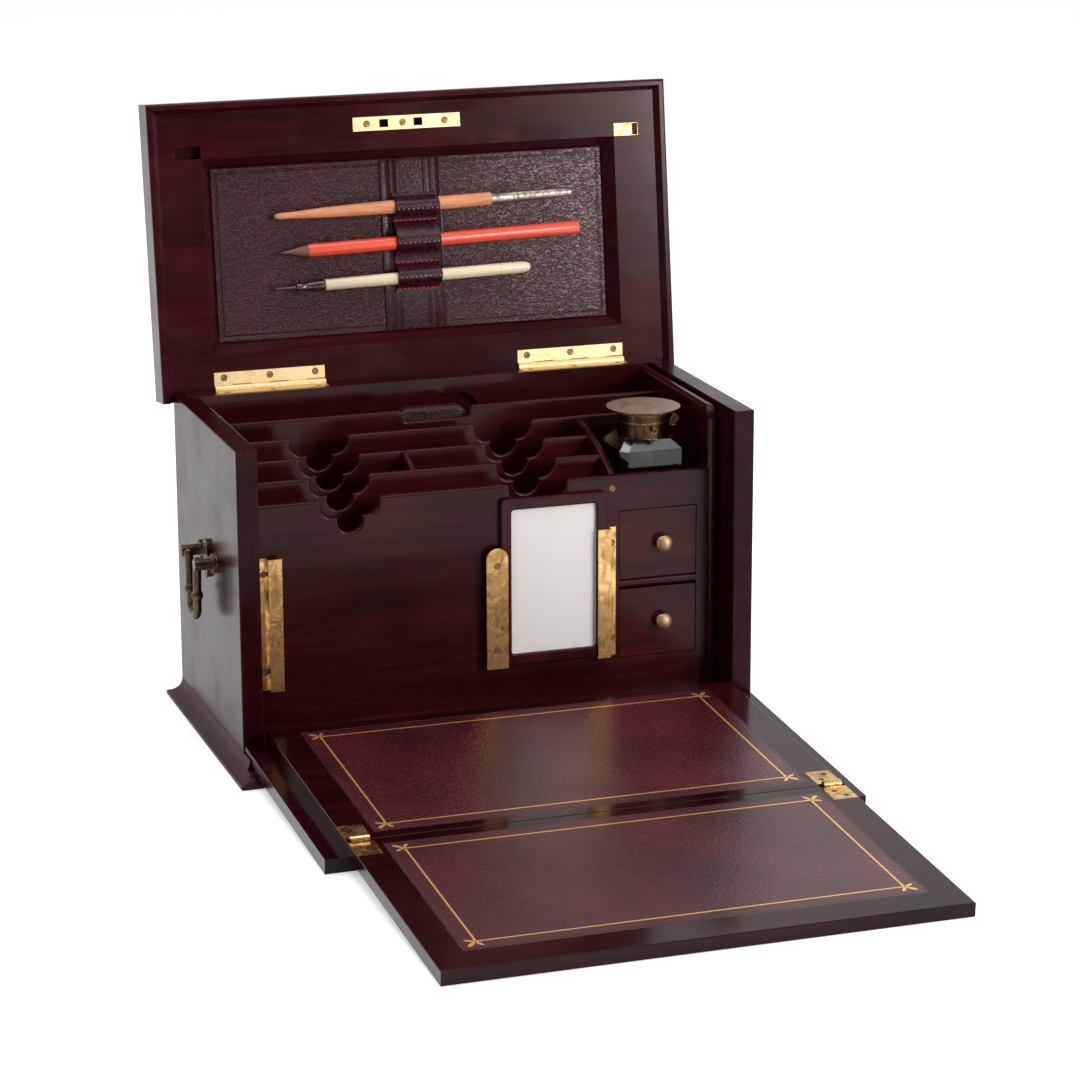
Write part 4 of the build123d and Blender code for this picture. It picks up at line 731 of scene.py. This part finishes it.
class STATIONERY_OT_writing_leathers(bpy.types.Operator):
    """Lay the leathers of the two writing leaves and tool them in gold"""

    bl_idname = "stationery.writing_leathers"
    bl_label = "Writing leathers"

    # the gold's bottom and top over the leathers; the folded leaves nearly meet there
    GOLD = (0.005, 0.05)
    # each petal's turn off the corner's diagonal, its reach, width and start, mm
    PETALS = (
        (0.0, 6.8, 2.9, 0.6),
        (0.95, 5.2, 2.5, 0.5),
        (-0.95, 5.2, 2.5, 0.5),
        (2.15, 3.0, 1.9, 0.6),
        (-2.15, 3.0, 1.9, 0.6),
    )
    PETAL_POINTS, CURL, PETAL_SUNK, PETAL_PROUD = 16, 0.05, 0.03, 0.02

    def execute(self, context):
        sizes = context.scene.stationery_sizes
        for leaf, body in (("rear", "fall"), ("front", "front_leaf")):
            low, high = FIELDS[leaf]
            dress((f"leather_{leaf}",), finish(f"writing_leather_{leaf}", writing_leather, low, high))
            self.tool(leaf, body, low, high, sizes)
        return {"FINISHED"}

    def tool(self, leaf, body, field_low, field_high, sizes):
        """One gold line round the leather, with a sprig set on each corner."""
        shape = bmesh.new()
        inset, half = sizes.gold_inset, sizes.gold_width / 2
        side, low, high = field_high.x - inset, field_low.y + inset, field_high.y - inset
        bottom, top = [LEAF_TOP + rise for rise in self.GOLD]
        for v in (low, high):
            press(shape, FALL, oblong(-side, v - half, side, v + half), bottom, top)
        for u in (-side, side):
            press(shape, FALL, oblong(u - half, low + half, u + half, high - half), bottom, top)
        for u, v in ((-side, low), (side, low), (side, high), (-side, high)):
            self.sprig(shape, u, v, math.atan2(v - (low + high) / 2, u), top)
        piece(f"gold_tooling_{leaf}", shape, finish("gold_leaf", gold_leaf), body, "burgundy_leather")

    def sprig(self, shape, u, v, angle, top):
        """Five rounded petals: three spread out of the corner and two lie back along the lines."""
        quarter = math.pi / 2
        outward = quarter / 2 + math.floor(angle / quarter) * quarter
        for off, reach, width, start in self.PETALS:
            side = (off > 0) - (off < 0)
            petal = []
            for i in range(self.PETAL_POINTS):
                share = i / self.PETAL_POINTS * 2 * math.pi
                along = start + reach / 2 * (1 - math.cos(share))
                bow = width / 2 * math.sin(share) * (0.6 + 0.4 * (along - start) / reach)
                petal.append((along, bow + side * self.CURL * along * along))
            c, s = math.cos(outward + off), math.sin(outward + off)
            outline = [(u + a * c - b * s, v + a * s + b * c) for a, b in petal]
            press(shape, FALL, outline, top - self.PETAL_SUNK, top + self.PETAL_PROUD)


class STATIONERY_OT_crushed_leathers(bpy.types.Operator):
    """Line the lid's recess and cover the slim case in the rear pocket with crushed leather"""

    bl_idname = "stationery.crushed_leathers"
    bl_label = "Crushed leathers"

    def execute(self, context):
        dress(("lid_leather",), finish("lid_leather_skin", crushed_leather, edge=True))
        dress(("leather_case",), finish("case_leather", crushed_leather, (0.6, 0.6, 0.6), 0.7, 0.8))
        return {"FINISHED"}


class STATIONERY_OT_pen_strap(bpy.types.Operator):
    """Make the leather band, its three loops and their red stitching"""

    bl_idname = "stationery.pen_strap"
    bl_label = "Pen strap"

    # heights on the lid: the rows of stitches, the rows of needle marks, and the loops as (along, out)
    ROWS = (104.5, 90.6, 66.0, 50.5)
    NEEDLED = (97.8, 78.2, 58.2)
    LOOP_PATH = (
        (107.0, 0.9), (104.5, 0.9), (103.9, 3.2), (102.9, 6.6), (101.2, 9.0), (99.3, 9.8), (97.2, 9.2),
        (95.6, 7.2), (94.6, 4.6), (93.4, 2.2), (90.6, 0.9), (88.6, 2.6), (84.6, 6.4), (81.4, 8.9),
        (79.4, 9.7), (77.4, 9.4), (75.6, 7.8), (74.2, 5.2), (72.4, 2.8), (69.4, 1.5), (66.0, 0.9),
        (64.2, 2.6), (61.8, 6.2), (59.9, 8.4), (57.9, 8.9), (56.0, 8.1), (54.6, 5.9), (53.6, 3.4),
        (52.2, 1.6), (50.5, 0.9), (48.6, 0.9),
    )
    LOOP_THICKNESS = 1.0
    # the raised lines down each side of the loops, in from their edge
    RIB_INSETS, RIB_LIFT, RIB_HALF, RIB_THICKNESS, RIB_EDGE = (2.2, 4.6), 0.93, 0.28, 0.22, 0.12
    # the band's edge, tooled lines and ends, as (in from the side or the end, height or share of it)
    BAND_CENTRE = 0.5
    BAND_EDGE = ((0.0, 0.0), (0.0, 0.75), (0.5, 1.0), (1.3, 0.95), (1.8, 0.55))
    BAND_LINES = (6.2, 10.2)
    BAND_LINE = ((-0.6, 0.6), (-0.3, 0.95), (0.3, 0.95), (0.6, 0.6), (1.0, 0.62))
    BAND_ENDS = ((0.3, 0.4), (1.0, 1.0))
    # one stitch as (across, height), the half width and half height of its thread, and its slant
    STITCH = ((-1.0, 1.75), (-0.7, 2.15), (0.0, 2.3), (0.7, 2.15), (1.0, 1.75))
    THREAD_HALF, THREAD_RISE, SLANT = 0.46, 0.42, 0.22
    NEEDLE_MARK = ((-0.15, 0.36), (0.12, 0.30))

    def execute(self, context):
        sizes = context.scene.stationery_sizes
        hide = finish("strap_leather", crushed_leather, (0.5, 0.6, 0.5), 0.3, 0.85)
        face = LID @ Matrix.Translation((0.0, 0.0, LEATHER_FACE))
        self.band(face, sizes, hide)
        self.loops(face, sizes, hide)
        self.stitches(face, sizes)
        self.needle_marks(face, sizes)
        return {"FINISHED"}

    def loops(self, face, sizes, hide):
        """The strip that arches over the three pens, with two raised lines down each side."""
        shape = bmesh.new()
        half = sizes.loop_width / 2
        path = self.smooth(self.LOOP_PATH)
        strap_run(shape, face, path, half, self.LOOP_THICKNESS, LOOP_CENTRE)
        rib = [(v, w + self.RIB_LIFT) for v, w in path]
        for side in (-1, 1):
            for inset in self.RIB_INSETS:
                at = LOOP_CENTRE + side * (half - inset)
                strap_run(shape, face, rib, self.RIB_HALF, self.RIB_THICKNESS, at, self.RIB_EDGE)
        loops = piece("pen_loops", shape, hide, "lid", "burgundy_leather", 60.0)
        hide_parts("pen_strap")

    def smooth(self, path, steps=3):
        """The path with points added along a smooth curve through it."""
        points = [Vector(p) for p in path]
        run = []
        for i in range(len(points) - 1):
            a, b = points[max(i - 1, 0)], points[i]
            c, d = points[i + 1], points[min(i + 2, len(points) - 1)]
            for j in range(steps):
                t = j / steps
                bend = (2 * a - 5 * b + 4 * c - d) * t * t + (3 * b - a - 3 * c + d) * t**3
                run.append(0.5 * ((2 * b) + (c - a) * t + bend))
        return run + [points[-1]]

    def band(self, face, sizes, hide):
        """The flat band with a raised edge and two tooled lines down each side."""
        edge = -sizes.strap_width / 2
        section = [(edge + u, w) for u, w in self.BAND_EDGE]
        for line in self.BAND_LINES:
            section += [(edge + line + u, w) for u, w in self.BAND_LINE]
        section += [(-u, w) for u, w in reversed(section)]
        ends = [(LEATHER_LOW.y + inset, rise) for inset, rise in self.BAND_ENDS]
        ends += [(LEATHER_HIGH.y - inset, rise) for inset, rise in reversed(self.BAND_ENDS)]
        rings = []
        for v, rise in ends:
            rings.append([face @ Vector((self.BAND_CENTRE + u, v, w * rise)) for u, w in section])
        shape = bmesh.new()
        ringed(shape, rings)
        piece("pen_band", shape, hide, "lid", "burgundy_leather", 50.0)

    def pitches(self, sizes):
        """Where the stitches of a row stand across the loops."""
        count = int(sizes.loop_width / sizes.stitch)
        return [LOOP_CENTRE + (i - (count - 1) / 2) * sizes.stitch for i in range(count)]

    def stitches(self, face, sizes):
        """A short slanted hump of thread for each stitch."""
        shape = bmesh.new()
        for row in self.ROWS:
            for u in self.pitches(sizes):
                rings = []
                for along, lift in self.STITCH:
                    v = row + along * self.SLANT
                    ring = [(v + self.THREAD_HALF * x, lift + self.THREAD_RISE * y) for x, y in circle(6)]
                    rings.append([face @ Vector((u + along, *point)) for point in ring])
                ringed(shape, rings)
        thread = finish("red_thread", plain, hues().thread, 0.6, 0.4, 2.0)
        piece("strap_stitches", shape, thread, "lid", "burgundy_leather", 60.0)

    def needle_marks(self, face, sizes):
        """A row of pale dots over each loop."""
        shape = bmesh.new()
        path = self.smooth(self.LOOP_PATH)
        for row in self.NEEDLED:
            i = min(range(1, len(path) - 1), key=lambda k: abs(path[k].x - row))
            run = (path[i + 1] - path[i - 1]).normalized()
            out = Vector((run.y, -run.x)) if run.x < 0 else Vector((-run.y, run.x))
            spot = path[i] + out * self.LOOP_THICKNESS
            axes = Matrix(((1, 0, 0), (0, run.x, out.x), (0, run.y, out.y))).to_4x4()
            for u in self.pitches(sizes):
                place = face @ Matrix.Translation((u, spot.x, spot.y)) @ axes
                turn(shape, place, self.NEEDLE_MARK, 8)
        dots = finish("needle_marks", plain, hues().needle, 0.4, 0.3, 1.0)
        piece("strap_needle_marks", shape, dots, "lid", "burgundy_leather", 60.0)


class STATIONERY_OT_pens(bpy.types.Operator):
    """Turn the dip pen, the pencil and the ivory pen"""

    bl_idname = "stationery.pens"
    bl_label = "Pens"

    # each pen's height on the lid, its radius and its slot
    PENS = {
        "dip_pen": (DIP_PEN_V, 4.0, "peach_wood"),
        "pencil": (PENCIL_V, 3.85, "orange_paint"),
        "ivory_pen": (IVORY_PEN_V, 3.5, "ivory"),
    }
    # each turned part's pen, name, finish and outline as (along the lid, radius)
    PARTS = (
        ("dip_pen", "holder", "wood", (
            (-83.6, 0.7), (-83.0, 1.35), (-80.0, 1.9), (-76.0, 1.95), (-72.0, 2.05), (-55.0, 3.0),
            (-30.0, 3.6), (-10.0, 3.95), (20.0, 4.0), (47.8, 3.85),
        )),
        ("dip_pen", "ferrule", "steel", (
            (47.5, 3.2), (47.6, 3.55), (49.2, 3.6), (49.6, 3.35), (62.0, 3.3), (90.0, 3.0),
            (95.5, 2.75), (98.2, 2.0), (99.0, 0.9),
        )),
        ("pencil", "stem", "paint", (
            (-64.6, 3.55), (-63.6, 3.8), (-62.5, 3.85), (100.9, 3.85), (101.5, 3.6),
        )),
        ("pencil", "cone", "cone", ((-76.5, 1.05), (-72.0, 2.0), (-66.0, 3.25), (-64.2, 3.6))),
        ("pencil", "lead", "lead", ((-81.1, 0.22), (-79.6, 0.55), (-76.3, 1.12))),
        ("ivory_pen", "stem", "cream", (
            (-55.4, 2.9), (-54.9, 3.25), (-20.0, 3.5), (51.0, 3.5), (51.2, 3.3), (51.8, 3.3),
            (52.0, 3.5), (66.0, 3.35), (69.4, 2.6), (70.7, 1.2),
        )),
        ("ivory_pen", "ferrule", "dark", (
            (-73.0, 1.4), (-72.6, 2.3), (-69.6, 2.5), (-69.2, 2.2), (-66.4, 2.25), (-66.0, 2.65),
            (-60.4, 2.8), (-60.0, 3.1), (-56.6, 3.15), (-56.3, 2.7), (-55.2, 2.7),
        )),
        ("ivory_pen", "nib", "dark", (
            (-85.3, 0.25), (-84.6, 0.75), (-83.5, 0.95), (-80.0, 0.8), (-75.5, 0.85), (-72.8, 1.2),
        )),
    )
    # the parts that stand in for their pen's CAD node
    STAND_INS = ("dip_pen_holder", "pencil_stem", "ivory_pen_stem")
    FACETS = 28

    def execute(self, context):
        pick = hues()
        long_grain, end_grain, ivory_grain = (0.25, 3.0, 3.0), (0.3, 2.0, 2.0), (0.2, 1.0, 1.0)
        skins = {
            "wood": finish("pen_wood", plain, pick.pen_wood, 0.42, 0.3, 0.25, relief=0.2, warp=long_grain),
            "steel": finish("pen_steel", brass, (0.42, 0.39, 0.36), 0.75, 0.30, 0.25),
            "dark": finish("dark_steel", brass, (0.13, 0.11, 0.10), 0.6, 0.28, 0.4),
            "paint": finish("pencil_paint", plain, pick.pencil_red, 0.30, 0.12, 0.1, coat=0.4),
            "cone": finish("pencil_cone", plain, pick.pencil_wood, 0.55, 0.35, 0.5, warp=end_grain),
            "lead": finish("pencil_lead", plain, (0.09, 0.085, 0.085), 0.4, 0.2, 0.5),
            "cream": finish("ivory_stem", plain, pick.ivory, 0.32, 0.12, 0.15, coat=0.3, warp=ivory_grain),
        }
        for body, part, skin, outline in self.PARTS:
            self.part(f"{body}_{part}", body, skins[skin], outline)
        return {"FINISHED"}

    def part(self, name, body, material, outline):
        """Turn one part of a pen about the pen's axis, which is tilted a little on the lid."""
        v, radius, slot = self.PENS[body]
        out = Vector((0.0, 0.0, 1.0))
        along = Vector((math.cos(PEN_TILT), math.sin(PEN_TILT), 0.0))
        lie = Matrix((out.cross(along), out, along)).transposed().to_4x4()
        axis = LID @ Matrix.Translation((LOOP_CENTRE, v, PEN_FLOOR + radius)) @ lie
        shape = bmesh.new()
        turn(shape, axis, [(place - LOOP_CENTRE, r) for place, r in outline], self.FACETS)
        made = piece(name, shape, material, body, slot)
        if name in self.STAND_INS:
            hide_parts(body)


class STATIONERY_OT_brasswork(bpy.types.Operator):
    """Finish the hinges, channels, plates, knobs and handles and drive the small screws"""

    bl_idname = "stationery.brasswork"
    bl_label = "Brasswork"

    POLISHED = (
        "channel_left", "channel_middle", "channel_right", "fall_hinge_floor_leaves",
        "fall_hinge_board_leaves", "leaf_hinge_rear_leaves", "leaf_hinge_front_leaves",
        "leaf_hinge_pins", "hinge_pins", "lock_case",
    )
    PLATES = ("lid_hinge_lower_leaves", "lid_hinge_upper_leaves", "striker_plate")
    KNOBS = ("drawer_knob_lower", "drawer_knob_upper")
    HANDLES = ("handle_bosses", "handle_bail_left", "handle_bail_right")
    # the rings of painted shadow round the screws' heads: name, screws, face, body and outer radius
    SEATS = (
        ("lid_screw_shadow_rings", "lid_screws", LID, "lid", 2.0),
        ("front_screw_shadow_rings", "carcass_screws", UPRIGHT, "case", 1.95),
    )
    SHADOW_RING_INNER = 1.66
    # the leaf hinges' middles, and their screws as (from the fold, to the side)
    LEAF_HINGES = (-130.0, 130.0)
    LEAF_SCREWS = ((8.6, -2.2), (15.2, 2.0))
    LEAF_SCREW_RADIUS = 1.5
    # the mortise in the lid's frame, whose rim stands over the face that the mortise is cut in
    MORTISE_INSET, MORTISE_LENGTH, MORTISE_WIDTH = 31.2, 15.0, 7.4
    MORTISE_MIDDLE, MORTISE_DEPTH = 136.8, 5.0
    RIM, LINING, LINING_GAP, LINING_LIFT = 4.5, 0.2, 0.1, 0.02

    def execute(self, context):
        pick = hues()
        polished = finish("polished_brass", brass, pick.brass, 0.72, 0.17)
        dress(self.POLISHED, polished)
        dress(self.PLATES, finish("plate_brass", brass, pick.brass_pale, 0.16, 0.40))
        dress(self.KNOBS, finish("knob_brass", brass, pick.brass_tan, 0.25, 0.50, 0.3))
        dress(self.HANDLES, finish("dark_brass", brass, pick.brass_dark, 0.7, 0.36, 0.15, pick.brass))
        heads = finish("screw_heads", brass, pick.screw_red, 0.6, 0.4, 0.4)
        dress(("carcass_screws", "lid_screws"), heads)
        self.catch(polished)
        # a thin dark ring of painted shadow round each screw head
        shadow = finish("seat_shadow", plain, (0.030, 0.014, 0.009), 0.6)
        for name, screws, face, body, outer in self.SEATS:
            shape = bmesh.new()
            for middle in self.heads(screws, face):
                self.ring(shape, face @ Matrix.Translation(middle), self.SHADOW_RING_INNER, outer)
            piece(name, shape, shadow, body, "aged_brass")
        dark = finish("dark_screws", brass, (0.10, 0.085, 0.07), 0.5, 0.42, 0.4)
        for body, side in (("fall", 1), ("front_leaf", -1)):
            shape = bmesh.new()
            for u in self.LEAF_HINGES:
                for reach, drift in self.LEAF_SCREWS:
                    spot = Matrix.Translation((u + drift, FOLD + side * reach, LEAF_TOP))
                    self.screw(shape, FALL @ spot, self.LEAF_SCREW_RADIUS)
            piece(f"leaf_screws_{body}", shape, dark, body, "aged_brass", 30.0)
        return {"FINISHED"}

    def catch(self, material):
        """The thin brass lining of the right-hand mortise in the lid's frame."""
        _, high = extent("lid_frame", LID)
        left = high.x - self.MORTISE_INSET
        right = left + self.MORTISE_LENGTH
        bottom = self.MORTISE_MIDDLE - self.MORTISE_WIDTH / 2
        top = self.MORTISE_MIDDLE + self.MORTISE_WIDTH / 2
        face = high.z - self.RIM - self.LINING_GAP
        floor = face - self.MORTISE_DEPTH + self.LINING_GAP
        wall = self.LINING
        shape = bmesh.new()
        for outline, rise in (
            (oblong(left, bottom, right, top), floor + wall),
            (oblong(left, bottom, left + wall, top), face),
            (oblong(right - wall, bottom, right, top), face),
            (oblong(left, bottom, right, bottom + wall), face),
            (oblong(left, top - wall, right, top), face),
        ):
            press(shape, LID, outline, floor + self.LINING_LIFT, rise)
        piece("catch_lining", shape, material, "lid", "aged_brass", 30.0)

    def heads(self, node, face):
        """The middle of each screw's head that lies flat on a face, from a CAD node's separate shells."""
        shape = bmesh.new()
        shape.from_mesh(frame["nodes"][node].data)
        bmesh.ops.remove_doubles(shape, verts=shape.verts, dist=1e-6)
        back, left = face.inverted(), dict.fromkeys(shape.verts)
        while left:
            shell = [left.popitem()[0]]
            for vertex in shell:
                for link in vertex.link_edges:
                    near = link.other_vert(vertex)
                    if near in left:
                        del left[near]
                        shell.append(near)
            low, high = corners([back @ vertex.co for vertex in shell])
            if abs((high.x - low.x) - (high.y - low.y)) < 0.1:
                yield Vector(((low.x + high.x) / 2, (low.y + high.y) / 2, high.z))
        shape.free()

    def ring(self, shape, place, inner, outer, half=0.05, steps=24):
        """A thin flat ring about the out axis of a place."""
        section = ((inner, -half), (inner, half), (outer, half), (outer, -half))
        rings = [[place @ Vector((r * x, r * y, w)) for r, w in section] for x, y in circle(steps)]
        ringed(shape, rings, True)

    def screw(self, shape, place, radius, slot=0.5, proud=0.05):
        """A flush slotted head: a disc with two raised halves."""
        turn(shape, place, ((-0.6, radius), (0.02, radius)), 20)
        for side in (1, -1):
            start = math.asin(slot / 2 / radius)
            half = []
            for i in range(9):
                angle = start + (math.pi - 2 * start) * i / 8
                half.append((radius * math.cos(angle), side * radius * math.sin(angle)))
            press(shape, place, half if side > 0 else half[::-1], 0.0, proud)


class STATIONERY_OT_tablet(bpy.types.Operator):
    """Clean the ivorine tablet"""

    bl_idname = "stationery.tablet"
    bl_label = "Tablet"

    def execute(self, context):
        dress(("tablet_panel",), finish("tablet_white", tablet_white))
        return {"FINISHED"}


class STATIONERY_OT_inkwell(bpy.types.Operator):
    """Finish the cut-glass inkwell and its brass cap"""

    bl_idname = "stationery.inkwell"
    bl_label = "Inkwell"

    def execute(self, context):
        pick = hues()
        brown = pick.brass_brown
        dress(("inkwell_glass",), finish("cut_glass", cut_glass))
        # the cap's top gets a painted paler sheen where it faces up
        cap = finish("aged_brass", brass, brown, 0.5, 0.3, 0.12, pick.brass, pick.brass_top_sheen)
        dress(("inkwell_cap",), cap)
        dress(("inkwell_collar",), finish("brown_brass", brass, brown, 0.6, 0.26, 0.12, pick.brass))
        return {"FINISHED"}


class STATIONERY_PT_panel(bpy.types.Panel):
    bl_idname = "STATIONERY_PT_panel"
    bl_label = "Stationery Box"
    bl_space_type = "VIEW_3D"
    bl_region_type = "UI"
    bl_category = "Stationery Box"

    def draw(self, context):
        scene = context.scene
        for step in STEPS:
            self.layout.operator(step.bl_idname)
        for group in (scene.stationery_finishes, scene.stationery_sizes, scene.stationery_studio):
            box = self.layout.box()
            for name in group.__annotations__:
                box.prop(group, name)


STEPS = (
    STATIONERY_OT_studio,
    STATIONERY_OT_woodwork,
    STATIONERY_OT_writing_leathers,
    STATIONERY_OT_crushed_leathers,
    STATIONERY_OT_pen_strap,
    STATIONERY_OT_pens,
    STATIONERY_OT_brasswork,
    STATIONERY_OT_tablet,
    STATIONERY_OT_inkwell,
)
GROUPS = (StationeryFinishes, StationerySizes, StationeryStudio)


def register():
    for kind in (*GROUPS, *STEPS, STATIONERY_PT_panel):
        bpy.utils.register_class(kind)
    bpy.types.Scene.stationery_finishes = bpy.props.PointerProperty(type=StationeryFinishes)
    bpy.types.Scene.stationery_sizes = bpy.props.PointerProperty(type=StationerySizes)
    bpy.types.Scene.stationery_studio = bpy.props.PointerProperty(type=StationeryStudio)


def unregister():
    del bpy.types.Scene.stationery_studio
    del bpy.types.Scene.stationery_sizes
    del bpy.types.Scene.stationery_finishes
    for kind in (STATIONERY_PT_panel, *reversed(STEPS), *reversed(GROUPS)):
        bpy.utils.unregister_class(kind)


def main():
    register()
    for step in STEPS:
        group, name = step.bl_idname.split(".")
        getattr(getattr(bpy.ops, group), name)()
    boxes = {"cad": cad_box, "visual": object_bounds()}
    {name: [list(corner) for corner in box] for name, box in boxes.items()}


if __name__ == "__main__":
    main()
